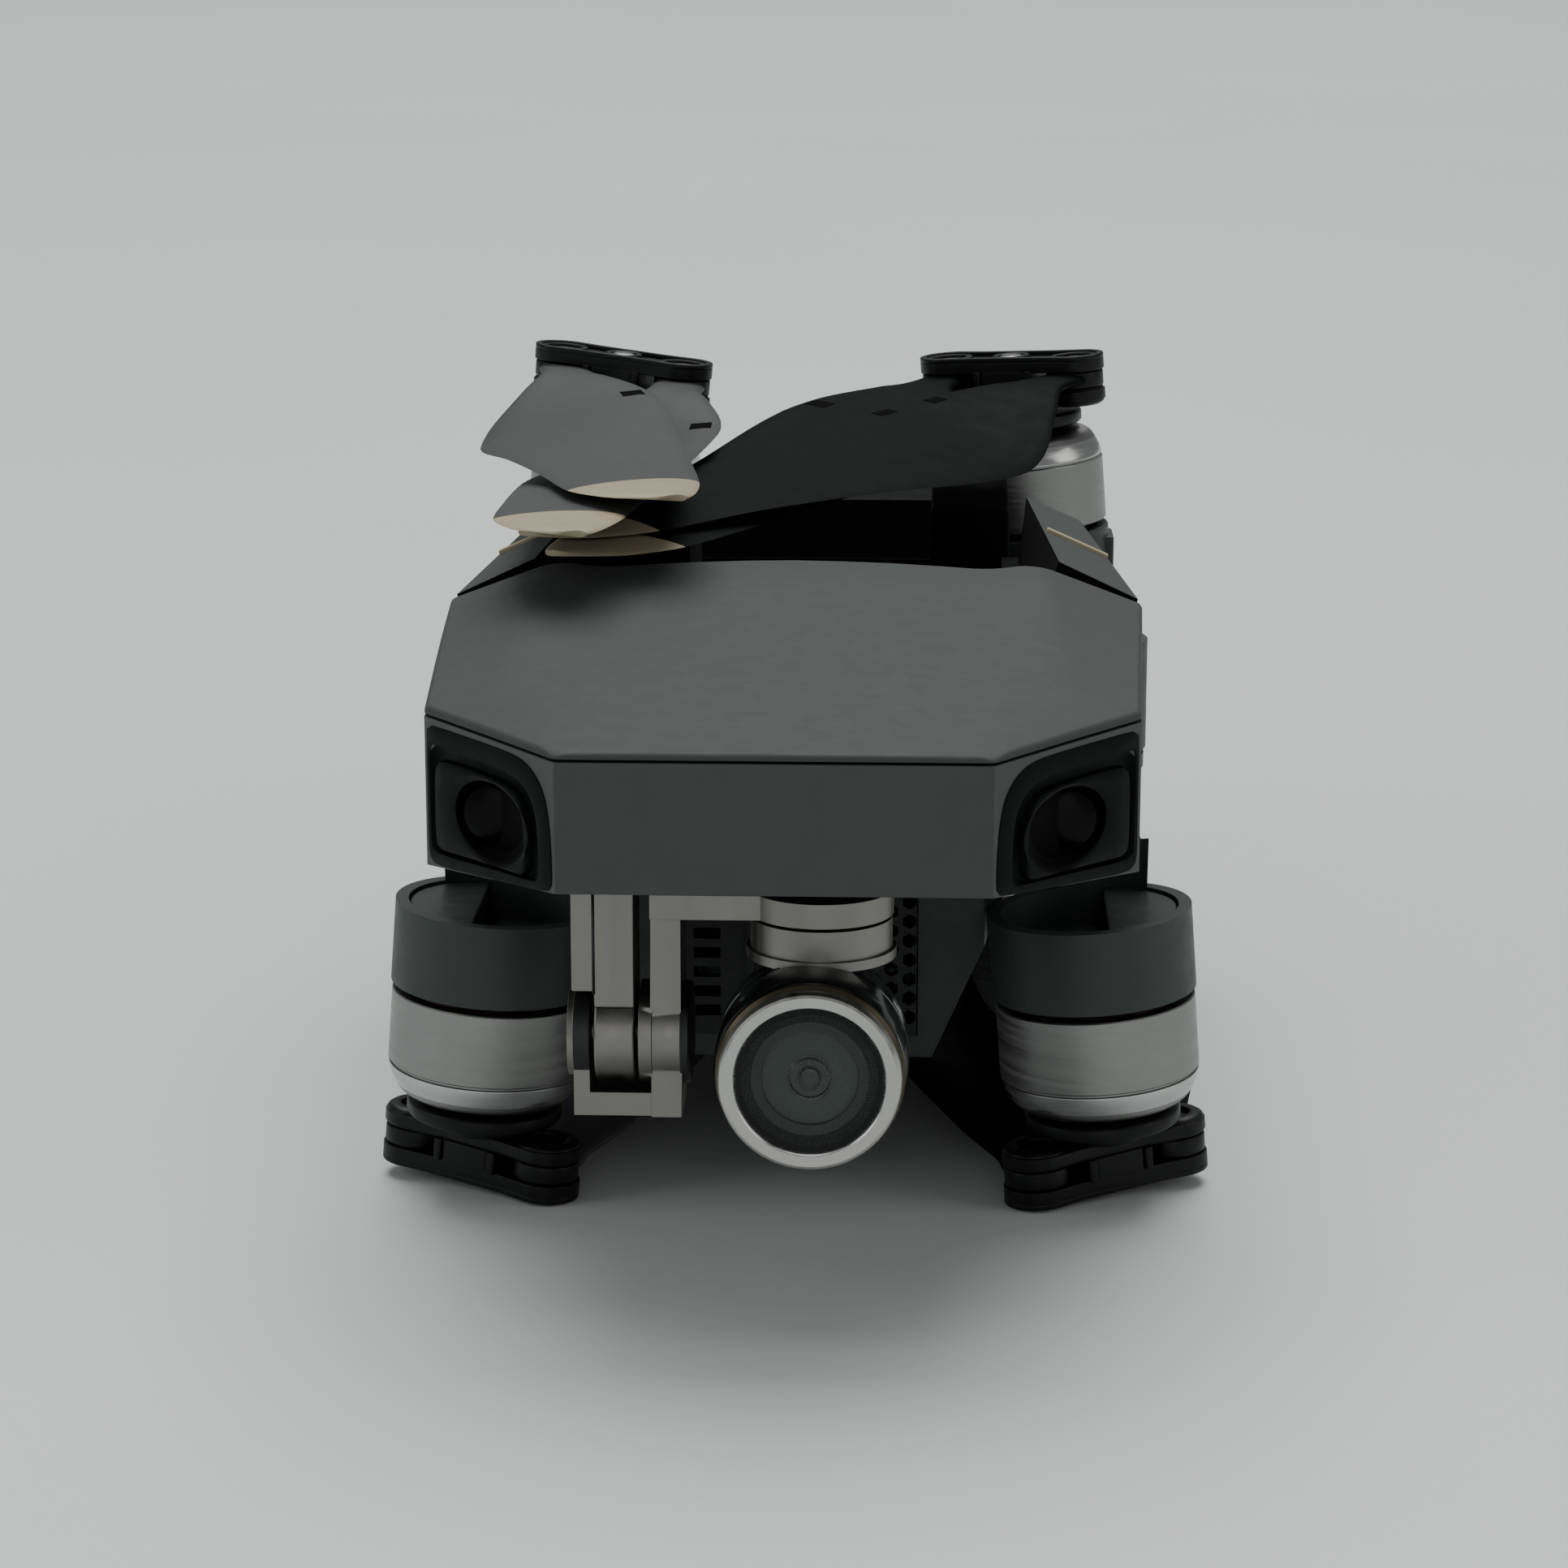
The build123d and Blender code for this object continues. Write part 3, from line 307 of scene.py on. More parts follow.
# black plastic of the bay, darkened far below the other black plastic as painted shade; also used for the bay side
# blocks and the sensor tubes
M_BAY_BLACK_AND_SHADE = plastic("bay_black_and_painted_shade", (0.0018, 0.002, 0.002), 0.85, 0.12, 0.00003, 0.15, 0.05)
M_BEZEL = plastic("bezel_black", (0.0030, 0.0037, 0.0037), 0.45, 0.05, 0.000004, 0.12, 0.06, 0.04)
M_WINDOW = plastic("sensor_window", (0.0012, 0.0014, 0.0014), 0.32, 0.10, 0.000002, 0.1, 0.04)


# ================================================================ mesh helpers
def finish_obj(me, name, nodes, mats, body=None, bevel=0.0, segs=2, angle=32, sharp=None, solid=0.0, sub=0):
    o = bpy.data.objects.new(name, me)
    SC.collection.objects.link(o)
    for m in mats:
        me.materials.append(m)
    for p in me.polygons:
        p.use_smooth = True
    if sharp is not None:
        me.set_sharp_from_angle(angle=radians(sharp))
    if solid:
        s = o.modifiers.new("wall", "SOLIDIFY")
        s.thickness = solid * MM
        s.offset = -1
        s.use_even_offset = True
    if bevel:
        b = o.modifiers.new("edge", "BEVEL")
        b.width = bevel * MM
        b.segments = segs
        b.limit_method = "ANGLE"
        b.angle_limit = radians(angle)
        b.use_clamp_overlap = True
        b.miter_outer = "MITER_ARC"
        w = o.modifiers.new("normals", "WEIGHTED_NORMAL")
        w.keep_sharp = True
    if sub:
        s = o.modifiers.new("smooth", "SUBSURF")
        s.levels = s.render_levels = sub
    if isinstance(nodes, str):
        nodes = [nodes]
    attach(o, body or BODY_OF[nodes[0]])
    return o


def mesh(name, verts, faces, mat_ids=None):
    me = bpy.data.meshes.new(name)
    me.from_pydata([tuple(c * MM for c in v) for v in verts], [], faces)
    me.validate()
    if mat_ids is not None:
        for p, k in zip(me.polygons, mat_ids):
            p.material_index = k
    bm = bmesh.new()
    bm.from_mesh(me)
    bmesh.ops.recalc_face_normals(bm, faces=bm.faces)
    bm.to_mesh(me)
    bm.free()
    me.update()
    return me


def refine(n, width=0.3, segs=2, angle=32, mats=None, paint=None, move=None):
    """Detailed copy of a CAD piece: cleaned faces, rounded edges, smooth shading."""
    src = frame["nodes"][n]
    bm = bmesh.new()
    bm.from_mesh(src.data)
    bmesh.ops.remove_doubles(bm, verts=bm.verts, dist=1e-6)
    bmesh.ops.dissolve_limit(bm, angle_limit=radians(0.6), verts=bm.verts, edges=bm.edges, use_dissolve_boundaries=False)
    bmesh.ops.recalc_face_normals(bm, faces=bm.faces)
    if move:
        for v in bm.verts:
            v.co = move(v.co / MM) * MM
    me = bpy.data.meshes.new(n + "_detail")
    bm.to_mesh(me)
    bm.free()
    me.materials.clear()
    o = finish_obj(me, n + "_detail", n, mats or [M[SLOT_OF[n]]], bevel=width, segs=segs, angle=angle)
    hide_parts(n)
    if paint:
        for p in me.polygons:
            p.material_index = paint(p.center / MM, p.normal)
    return o


class Local:
    """Axis frame of a motor or lens: origin, x, y, z (z along the axis), in mm."""

    def __init__(self, origin, z, xh=(1, 0, 0)):
        self.o = Vector(origin)
        self.z = Vector(z).normalized()
        xh = Vector(xh)
        self.x = (xh - self.z * xh.dot(self.z)).normalized()
        self.y = self.z.cross(self.x)

    def p(self, x, y, z):
        return self.o + self.x * x + self.y * y + self.z * z


def lathe(fr, profile, segs=96, x0=0.0, y0=0.0, closed=True):
    """Ring of faces from a list of (r, z[, material]) in a local frame."""
    verts, faces, ids = [], [], []
    rows = []
    for pt in profile:
        r, z = pt[0], pt[1]
        if r < 1e-6:
            verts.append(fr.p(x0, y0, z))
            rows.append([len(verts) - 1])
        else:
            row = []
            for k in range(segs):
                a = 2 * pi * k / segs
                verts.append(fr.p(x0 + r * cos(a), y0 + r * sin(a), z))
                row.append(len(verts) - 1)
            rows.append(row)
    n = len(rows)
    for i in range(n if closed else n - 1):
        a, b = rows[i], rows[(i + 1) % n]
        mid = profile[i][2] if len(profile[i]) > 2 else 0
        if len(a) == 1 and len(b) == 1:
            continue
        for k in range(segs):
            k2 = (k + 1) % segs
            if len(a) == 1:
                faces.append((a[0], b[k], b[k2]))
            elif len(b) == 1:
                faces.append((a[k], b[0], a[k2]))
            else:
                faces.append((a[k], a[k2], b[k2], b[k]))
            ids.append(mid)
    return verts, faces, ids


def join(parts):
    V, F, I = [], [], []
    for v, f, i in parts:
        k = len(V)
        V += v
        F += [tuple(q + k for q in g) for g in f]
        I += i
    return V, F, I


def prism(fr, outline, z0, z1, mid=0):
    n = len(outline)
    v = [fr.p(x, y, z0) for x, y in outline] + [fr.p(x, y, z1) for x, y in outline]
    f = [tuple(range(n - 1, -1, -1)), tuple(range(n, 2 * n))]
    f += [(i, (i + 1) % n, n + (i + 1) % n, n + i) for i in range(n)]
    return v, f, [mid] * len(f)


def ring_prism(fr, outer, inner, z0, z1, mid=0):
    """Prism between two outlines with the same number of points."""
    n = len(outer)
    v = [fr.p(x, y, z) for z in (z0, z1) for x, y in outer] + [fr.p(x, y, z) for z in (z0, z1) for x, y in inner]
    f = []
    for i in range(n):
        j = (i + 1) % n
        f.append((i, j, n + j, n + i))
        f.append((2 * n + j, 2 * n + i, 3 * n + i, 3 * n + j))
        f.append((j, i, 2 * n + i, 2 * n + j))
        f.append((n + i, n + j, 3 * n + j, 3 * n + i))
    return v, f, [mid] * len(f)


def slot_outline(cc, r, ang, n=18, squeeze=0.0):
    """Round-ended bar; squeeze narrows its waist."""
    pts = []
    for e in (1, -1):
        for k in range(n + 1):
            a = -pi / 2 + pi * k / n + (0 if e > 0 else pi)
            pts.append((e * cc / 2 + r * cos(a), r * sin(a)))
        if squeeze:
            s = 1 if e > 0 else -1
            for q in (0.55, 0.2, -0.2, -0.55):
                pts.append((s * cc / 2 * q, s * (r - squeeze)))
    c, s = cos(ang), sin(ang)
    return [(x * c - y * s, x * s + y * c) for x, y in pts]


def rrect(w, h, r, n=6, cx=0.0, cy=0.0):
    pts = []
    for sx, sy, a0 in ((1, 1, 0), (-1, 1, 90), (-1, -1, 180), (1, -1, 270)):
        for k in range(n + 1):
            a = radians(a0 + 90 * k / n)
            pts.append((cx + sx * (w / 2 - r) + r * cos(a), cy + sy * (h / 2 - r) + r * sin(a)))
    return pts


# ================================================================ nose
def nose_cover():
    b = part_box("nose_cover")
    y0, y1 = b[0].y / MM, b[1].y / MM          # front, rear edge
    zb = 58.78                                 # lower edge, at the seam
    top = b[1].z / MM
    xb = b[1].x / MM
    xf, xc, yc = 20.7, 35.4, y0 + 20.0
    verts, faces = [], []
    # top skin: lines along the nose, from the left flank to the right flank
    cols = [(-xc, yc, 59.5, -xb, 63.4), (-27.6, (y0 + yc) / 2 - 0.5, 59.46, -25.5, top - 0.2), (-xf, y0, 59.4, -21.0, 67.0)]
    mids = [(-15.5, 67.36), (-10.5, 67.64), (-5.2, 67.82), (0, top), (5.2, 67.82), (10.5, 67.64), (15.5, 67.36)]
    for x, z in mids:
        cols.append((x * xf / 21.0, y0, 59.4, x, z))
    cols += [(-c[0], c[1], c[2], -c[3], c[4]) for c in reversed(cols[:3])]
    nrow = 7
    for c in cols:
        for k in range(nrow):
            t = k / (nrow - 1)
            verts.append((c[0] + (c[3] - c[0]) * t, c[1] + (y1 - c[1]) * t, c[2] + (c[4] - c[2]) * t + 0.35 * sin(pi * t)))
    nc = len(cols)
    for i in range(nc - 1):
        for k in range(nrow - 1):
            a = i * nrow + k
            faces.append((a, a + nrow, a + nrow + 1, a + 1))
    # skirt down to the seam: round the front and along both flanks
    rim = [(0 * nrow + k) for k in range(nrow - 1, 0, -1)] + [i * nrow for i in range(nc)] + [((nc - 1) * nrow + k) for k in range(1, nrow)]
    base = len(verts)
    for r in rim:
        x, y, z = verts[r]
        verts.append((x, y, zb))
    for i in range(len(rim) - 1):
        faces.append((rim[i], base + i, base + i + 1, rim[i + 1]))
    me = mesh("nose_cover_skin", verts, faces)
    o = finish_obj(me, "nose_cover_skin", "nose_cover", [M["shell_grey"]])
    o.modifiers.clear()
    bm = bmesh.new()
    bm.from_mesh(me)
    bm.edges.ensure_lookup_table()
    wl = bm.edges.layers.float.new("bevel_weight_edge")
    for e in bm.edges:
        if len(e.link_faces) != 2:
            continue
        a = e.calc_face_angle(0)
        m = (e.verts[0].co + e.verts[1].co) / 2 / MM
        if a > radians(30):
            e[wl] = 0.28 if m.z < 60.2 else 0.3
        elif a > radians(3.0) and abs(m.x) > 18:
            e[wl] = 1.0
    bm.to_mesh(me)
    bm.free()
    bv = o.modifiers.new("edge", "BEVEL")
    bv.width = 2.0 * MM
    bv.segments = 4
    bv.limit_method = "WEIGHT"
    bv.use_clamp_overlap = False
    bv.loop_slide = False
    s = o.modifiers.new("wall", "SOLIDIFY")
    s.thickness = 1.5 * MM
    s.offset = -1
    w = o.modifiers.new("normals", "WEIGHTED_NORMAL")
    w.keep_sharp = False
    # make the wall go inwards
    n_up = sum(p.normal.z for p in me.polygons if abs(p.center.x) < 0.015 and p.center.z > 0.059)
    if n_up < 0:
        me.flip_normals()
    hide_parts("nose_cover")
    return o


nose_cover()
fascia = refine("front_fascia", 0.35, 3, 22, move=lambda c: Vector((c.x, c.y, c.z + 0.65)) if c.z > 57.5 else c)


def corner_plane(side):
    y0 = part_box("front_fascia")[0].y / MM
    ang = atan2(20.0, 35.4 - 20.7)
    t = 0.54
    ox, oy = 20.7 + (35.4 - 20.7) * t, y0 + 20.0 * t
    z = (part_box("sensor_bezels")[0].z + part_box("sensor_bezels")[1].z) / 2 / MM
    xd = Vector((side * cos(ang), sin(ang), 0))
    zd = Vector((side * sin(ang), -cos(ang), 0))
    return Local((side * ox, oy, z), zd, xd)


def chaikin(pts, times=2):
    for _ in range(times):
        out = []
        for i, p in enumerate(pts):
            q = pts[(i + 1) % len(pts)]
            out.append((p[0] * 0.75 + q[0] * 0.25, p[1] * 0.75 + q[1] * 0.25))
            out.append((p[0] * 0.25 + q[0] * 0.75, p[1] * 0.25 + q[1] * 0.75))
        pts = out
    return pts


def ray_hit(poly, cx, cy, a):
    """Where a ray from (cx, cy) leaves a closed outline."""
    dx, dy = cos(a), sin(a)
    best = None
    for i, (x0, y0) in enumerate(poly):
        x1, y1 = poly[(i + 1) % len(poly)]
        ex, ey = x1 - x0, y1 - y0
        den = dx * ey - dy * ex
        if abs(den) < 1e-12:
            continue
        t = ((x0 - cx) * ey - (y0 - cy) * ex) / den
        u = ((x0 - cx) * dy - (y0 - cy) * dx) / den
        if t > 0 and -1e-9 <= u <= 1 + 1e-9 and (best is None or t > best):
            best = t
    return cx + dx * best, cy + dy * best


def bezel(side):
    """Dark corner panel: large inner corner, raised rounded square, round forward-facing sensor tube."""
    fr = corner_plane(side)
    vs = 1 if fr.y.z > 0 else -1
    U0, Z0 = 13.4, 50.4

    def uz(pts):
        return [(u - U0, z - Z0) for u, z in pts]
    edge = chaikin(uz([(0.5, 46.3), (1.0, 45.75), (2.5, 45.5), (10.0, 44.8), (16.4, 44.2), (20.9, 43.8), (23.4, 43.75), (24.2, 44.4), (24.3, 45.6), (24.3, 52.0), (24.3, 56.6), (24.2, 57.6), (23.2, 57.85),
                       (14.0, 57.95), (8.6, 57.95), (6.0, 57.75), (4.2, 57.2), (2.8, 56.3), (1.7, 55.0), (1.05, 53.2), (0.7, 51.2), (0.5, 48.5)]), 1)
    inner = chaikin(uz([(3.0, 46.6), (3.4, 46.1), (10.0, 45.75), (16.4, 45.3), (21.4, 45.0), (23.3, 45.0), (23.7, 45.5), (23.8, 50.0), (23.8, 55.2), (23.5, 55.95), (22.6, 56.05),
                        (14.0, 56.05), (8.0, 55.95), (5.4, 55.2), (3.9, 53.8), (3.2, 52.0), (2.95, 49.0)]), 1)
    pod = chaikin(uz([(5.2, 47.0), (6.0, 46.0), (10.0, 45.95), (16.4, 45.6), (21.4, 45.3), (22.9, 45.45), (23.3, 46.2), (23.35, 50.0), (23.3, 53.4), (22.7, 54.4), (21.0, 54.75),
                      (14.0, 54.85), (9.0, 54.7), (6.6, 53.9), (5.5, 52.2), (5.15, 49.6)]), 2)
    n = 96
    cx, cv = 12.0 - U0, 50.25 - Z0
    angs = [2 * pi * k / n for k in range(n)]
    verts, faces, ids, rows = [], [], [], []

    def add(pts):
        row = []
        for x, v, z in pts:
            verts.append(fr.p(x, vs * v, z))
            row.append(len(verts) - 1)
        rows.append(row)

    def ring(poly, k, z):
        out = []
        for a in angs:
            x, v = ray_hit(poly, cx, cv, a)
            out.append((cx + (x - cx) * k, cv + (v - cv) * k, z))
        return out
    add(ring(edge, 0.99, -1.6))
    add(ring(edge, 1.0, -0.05))
    add(ring(edge, 1.0, 0.07))
    add(ring(edge, 0.985, 0.12))
    add(ring(inner, 1.0, 0.06))
    add(ring(inner, 0.985, -0.30))
    mid = [((a[0] + b[0]) / 2, (a[1] + b[1]) / 2, -0.62) for a, b in zip(ring(inner, 0.985, 0), ring(pod, 1.0, 0))]
    add(mid)
    add(ring(pod, 1.0, -0.60))
    add(ring(pod, 0.985, -0.25))
    add(ring(pod, 0.97, -0.02))
    add(ring(pod, 0.94, 0.07))
    # hole: round as seen from the front, running straight back
    ca, sa = 0.592, 0.806
    ra, rb = 6.7, 3.9

    def hole(k, d, z):
        return [(cx + ra * k * cos(a) + d * sa, cv + rb * k * sin(a), z - d * ca) for a in angs]
    half = [((p[0] + q[0]) / 2, (p[1] + q[1]) / 2, 0.09) for p, q in zip(ring(pod, 0.94, 0), hole(1.07, 0, 0))]
    add(half)
    add(hole(1.07, 0, 0.07))
    add(hole(1.02, 0, 0.0))
    add(hole(1.0, 0.25, 0.0))
    add(hole(0.99, 2.4, 0.0))
    add(hole(0.90, 2.5, 0.0))
    add(hole(0.88, 4.2, 0.0))
    add(hole(0.05, 4.4, 0.0))
    # inner wall and floor of the sensor tube take the near-black bay material: painted shade in the tube
    cut = len(rows) - 7
    for i in range(len(rows) - 1):
        for k in range(n):
            k2 = (k + 1) % n
            faces.append((rows[i][k], rows[i][k2], rows[i + 1][k2], rows[i + 1][k]))
            ids.append(1 if i > cut else 0)
    faces.append(tuple(rows[-1]))
    ids.append(1)
    tag = "right" if side > 0 else "left"
    me = mesh("sensor_bezel_" + tag, verts, faces, ids)
    s = sum((p.normal.dot(fr.z) * p.area) for p in me.polygons)
    if s < 0:
        me.flip_normals()
    o = finish_obj(me, "sensor_bezel_" + tag, "sensor_bezels", [M_BEZEL, M_BAY_BLACK_AND_SHADE], sharp=40)
    # domed sensor window at the bottom of the tube
    wf = Local(tuple(fr.p(cx + 2.9 * sa, vs * cv, -2.9 * ca)), (0, -1, 0))
    v, f, i = lathe(wf, [(0, -0.35), (1.0, -0.38), (1.9, -0.48), (2.6, -0.65), (3.0, -0.85), (3.05, -1.4), (0, -1.4)], 64, closed=False)
    me2 = mesh("sensor_window_" + tag, v, f, i)
    o2 = finish_obj(me2, "sensor_window_" + tag, "sensor_lenses", [M_WINDOW], sharp=45)
    return o, o2


bz = [bezel(s) for s in (1, -1)]
for o, o2 in bz:
    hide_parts("sensor_bezels")
    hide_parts("sensor_lenses")


# ================================================================ motors, hubs, blades
HUB_BAR = {("front", 1): -23.6, ("front", -1): -23.6, ("rear", 1): 28.8, ("rear", -1): 180 - 28.8}
BLADE_DIR = {("front", -1): {"a": -80.0, "b": -95.0}, ("front", 1): {"a": -127.5, "b": -114.0},
             ("rear", 1): {"a": 102.0, "b": 100.5}, ("rear", -1): {"a": 78.0, "b": 79.5}}
BLADE_BEND = {("front", -1): {"a": (-2.2, -0.9, 0.0), "b": (-4.3, -2.9, -3.1)},
              ("front", 1): {"a": (-3.0, -2.6, -2.9), "b": (-2.2, -4.3, -4.4)},
              ("rear", 1): {"a": (-3.0, -3.2, -3.4), "b": (-3.8, -4.6, -4.6)},
              ("rear", -1): {"a": (-3.0, -3.2, -3.4), "b": (-3.8, -4.6, -4.6)}}
BLADE_HAND = {("front", -1): 1, ("front", 1): -1, ("rear", 1): 1, ("rear", -1): -1}
# distance from the pivot, chord, twist, thickness, middle of the chord towards the leading edge
STATIONS = [(-3.0, 3.6, 0.0, 1.8, 0.0), (2.0, 6.4, 0.0, 1.8, 0.0), (7.5, 7.0, 3.0, 1.8, 0.0), (13.0, 12.0, 13.0, 1.8, -0.6), (23.0, 20.5, 19.0, 1.7, -1.4), (34.0, 22.5, 18.0, 1.5, -1.6),
            (52.0, 19.8, 13.0, 1.3, -0.8), (72.0, 16.6, 9.0, 1.15, 0.0), (88.0, 14.0, 6.5, 1.0, 0.4), (97.0, 9.5, 5.0, 0.9, 1.2)]


def motor_frame(kind, side):
    tag = "right" if side > 0 else "left"
    j = JOINTS[f"{kind}_motor_{tag}_spin"]
    return Local([c / MM for c in j["pos_m"]], j["axis"])


def in_plan(fr, deg):
    v = Vector((cos(radians(deg)), sin(radians(deg)), 0))
    x, y = v.x * fr.x.x + v.y * fr.x.y, v.x * fr.y.x + v.y * fr.y.y
    n = hypot(x, y)
    return x / n, y / n


def boss_of(fr, name):
    q = Vector([c / MM for c in JOINTS[name + "_fold"]["pos_m"]]) - fr.o
    return q.dot(fr.x), q.dot(fr.y)


def spline(tab, r):
    """Smooth value of every column of a station table at distance r."""
    n = len(tab)
    i = 0
    while i < n - 2 and r > tab[i + 1][0]:
        i += 1
    p0, p1 = tab[i], tab[i + 1]
    pm = tab[i - 1] if i > 0 else p0
    pn = tab[i + 2] if i + 2 < n else p1
    h = p1[0] - p0[0]
    t = (r - p0[0]) / h
    out = []
    for c in range(1, len(p0)):
        d0 = (p1[c] - pm[c]) / max(p1[0] - pm[0], 1e-6)
        d1 = (pn[c] - p0[c]) / max(pn[0] - p0[0], 1e-6)
        a, b = p0[c], p1[c]
        out.append((2 * t ** 3 - 3 * t ** 2 + 1) * a + (t ** 3 - 2 * t * t + t) * h * d0 + (-2 * t ** 3 + 3 * t * t) * b + (t ** 3 - t * t) * h * d1)
    return out


MARKS = {("front", -1, "a"): ((24.0, 26.8, 0.33, 0.45),), ("front", -1, "b"): ((24.0, 26.8, 0.33, 0.45),),
         ("front", 1, "a"): ((20.5, 22.6, 0.33, 0.42), (28.5, 31.5, 0.37, 0.44)), ("front", 1, "b"): ((24.0, 26.8, 0.33, 0.45),),
         ("rear", -1, "a"): ((24.0, 26.8, 0.33, 0.45),), ("rear", 1, "a"): ((24.0, 26.8, 0.33, 0.45),)}


def make_blade(kind, side, which):
    tag = "right" if side > 0 else "left"
    name = f"{kind}_blade_{which}_{tag}"
    fr = motor_frame(kind, side)
    px, py = boss_of(fr, name)
    dx, dy = in_plan(fr, BLADE_DIR[(kind, side)][which])
    hand = BLADE_HAND[(kind, side)]
    lx, ly = -dy * hand, dx * hand
    bend = BLADE_BEND[(kind, side)][which]
    L = STATIONS[-1][0]
    tip0 = 86.5
    rs = [2.2, 3.2, 4.4, 5.8, 7.2, 8.8, 10.4, 12, 13.8, 15.6, 17.6, 19.8, 22, 24.5, 27, 30, 33, 36, 39.5, 43, 47, 51, 55, 59, 63, 67, 71, 75, 78.5, 81.5, 84, tip0 - 0.5, tip0 + 0.5, 88.5, 90.5, 92.4, 94, 95.2, 96.1, 96.7, L - 0.02]
    m = 11
    verts, faces, ids = [], [], []

    def centre(r):
        q = min(max((r - 6) / 22.0, 0.0), 1.0)
        z = 18.75 + bend[0] * q * q * (3 - 2 * q)
        z += (bend[1] - bend[0]) * min(max((r - 28) / 44.0, 0.0), 1.0)
        z += (bend[2] - bend[1]) * max(0.0, (r - 72) / (L - 72))
        return z

    rows = []
    for r in rs:
        c, tw, th, off = spline(STATIONS, r)
        if r > 84:
            # tip: rounded trailing corner, straight leading edge
            u = (r - 84) / (L - 84)
            lead = 0.5 * c + off
            c2 = c * sqrt(max(0.0, 1 - 0.50 * u ** 3.0))
            if r > 94:
                c2 *= sqrt(max(0.02, 1 - ((r - 94) / (L - 94)) ** 2 * 0.80))
            off = lead - c2 * 0.5 - (c - c2) * 0.15
            c = c2
        if kind == "rear" and r > 58:
            w = min((r - 58) / 10.0, 1.0)
            c -= 1.0 * w
            off += 0.5 * w
        th = th * (0.92 if r < 12 else 0.95)
        zc = centre(r)
        ct, st = cos(radians(tw)), sin(radians(tw))
        k = min(max((r - 7) / 10.0, 0), 1)
        up, lo = [], []
        for q in range(m + 1):
            s = 0.5 - 0.5 * cos(pi * q / m)      # 0 leading .. 1 trailing
            cu = 0.5 - s
            prof_a = 0.30 + 0.70 * sqrt(max(0.0, 1 - (2 * s - 1) ** 4))
            env = sqrt(max(0.0, 1 - (abs(2 * s - 1)) ** 3.2))
            half = 0.5 * env * ((1 - k) + k * (1.0 - 0.55 * s))
            camber = k * 0.028 * (1 - (2 * s - 1) ** 2) * c
            up.append((cu * c + off, half * th + camber))
            lo.append((cu * c + off, -half * th + camber))
        sec = up + lo[-2:0:-1]
        row = []
        for w, h in sec:
            ww, hh = w * ct - h * st, w * st + h * ct
            verts.append(fr.p(px + dx * r + lx * ww, py + dy * r + ly * ww, zc + hh))
            row.append(len(verts) - 1)
        rows.append((r, row))
    n = len(rows[0][1])
    for (r0, a), (r1, b) in zip(rows, rows[1:]):
        for k in range(n):
            k2 = (k + 1) % n
            faces.append((a[k], a[k2], b[k2], b[k]))
            ids.append(1 if (r0 + r1) / 2 > tip0 else 0)
    faces.append(tuple(reversed(rows[0][1])))
    ids.append(0)
    faces.append(tuple(rows[-1][1]))
    ids.append(1)
    body = (verts, faces, ids)
    # pivot barrel with a rounded rim and a raised ring
    barrel = lathe(fr, [(1.62, 17.7, 3), (1.62, 19.66, 3), (2.0, 19.72, 3), (3.3, 19.72, 3), (3.5, 19.6, 3), (3.55, 19.35, 3), (3.55, 17.95, 3), (3.5, 17.72, 3), (3.3, 17.64, 3), (1.9, 17.64, 3)], 56, px, py)
    # two small sunk marks near the leading edge, as on moulded blades
    marks = []
    for r0, r1, w0, w1 in MARKS.get((kind, side, which), ()):
        q = []
        for rr, ww0 in ((r0, w0), (r1, w0), (r1, w1), (r0, w1)):
            c, tw, th, off = spline(STATIONS, rr)
            w = ww0 * c + off
            s = 0.5 - ww0
            env = sqrt(max(0.0, 1 - (abs(2 * s - 1)) ** 3.2))
            half = 0.5 * env * (1.0 - 0.55 * s)
            h = half * th * 0.95 + 0.028 * (1 - (2 * s - 1) ** 2) * c
            ct, st = cos(radians(tw)), sin(radians(tw))
            q.append((px + dx * rr + lx * (w * ct - h * st), py + dy * rr + ly * (w * ct - h * st), centre(rr) + w * st + h * ct))
        vv = [fr.p(a, b, z - 0.12) for a, b, z in q] + [fr.p(a, b, z + 0.05) for a, b, z in q]
        ff = [(3, 2, 1, 0), (4, 5, 6, 7)] + [(i, (i + 1) % 4, 4 + (i + 1) % 4, 4 + i) for i in range(4)]
        marks.append((vv, ff, [2] * 6))
    V, F, I = join([body, barrel] + marks)
    me = mesh(name + "_airfoil", V, F, I)
    # right-hand blades take the near-black copy: painted shade
    o = finish_obj(me, name + "_airfoil", name, [M_BLADE_SHADED if side > 0 else M["blade_grey"], M_CREAM, M_MARK, M["hub_black"]], sharp=62)
    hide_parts(name)
    return o


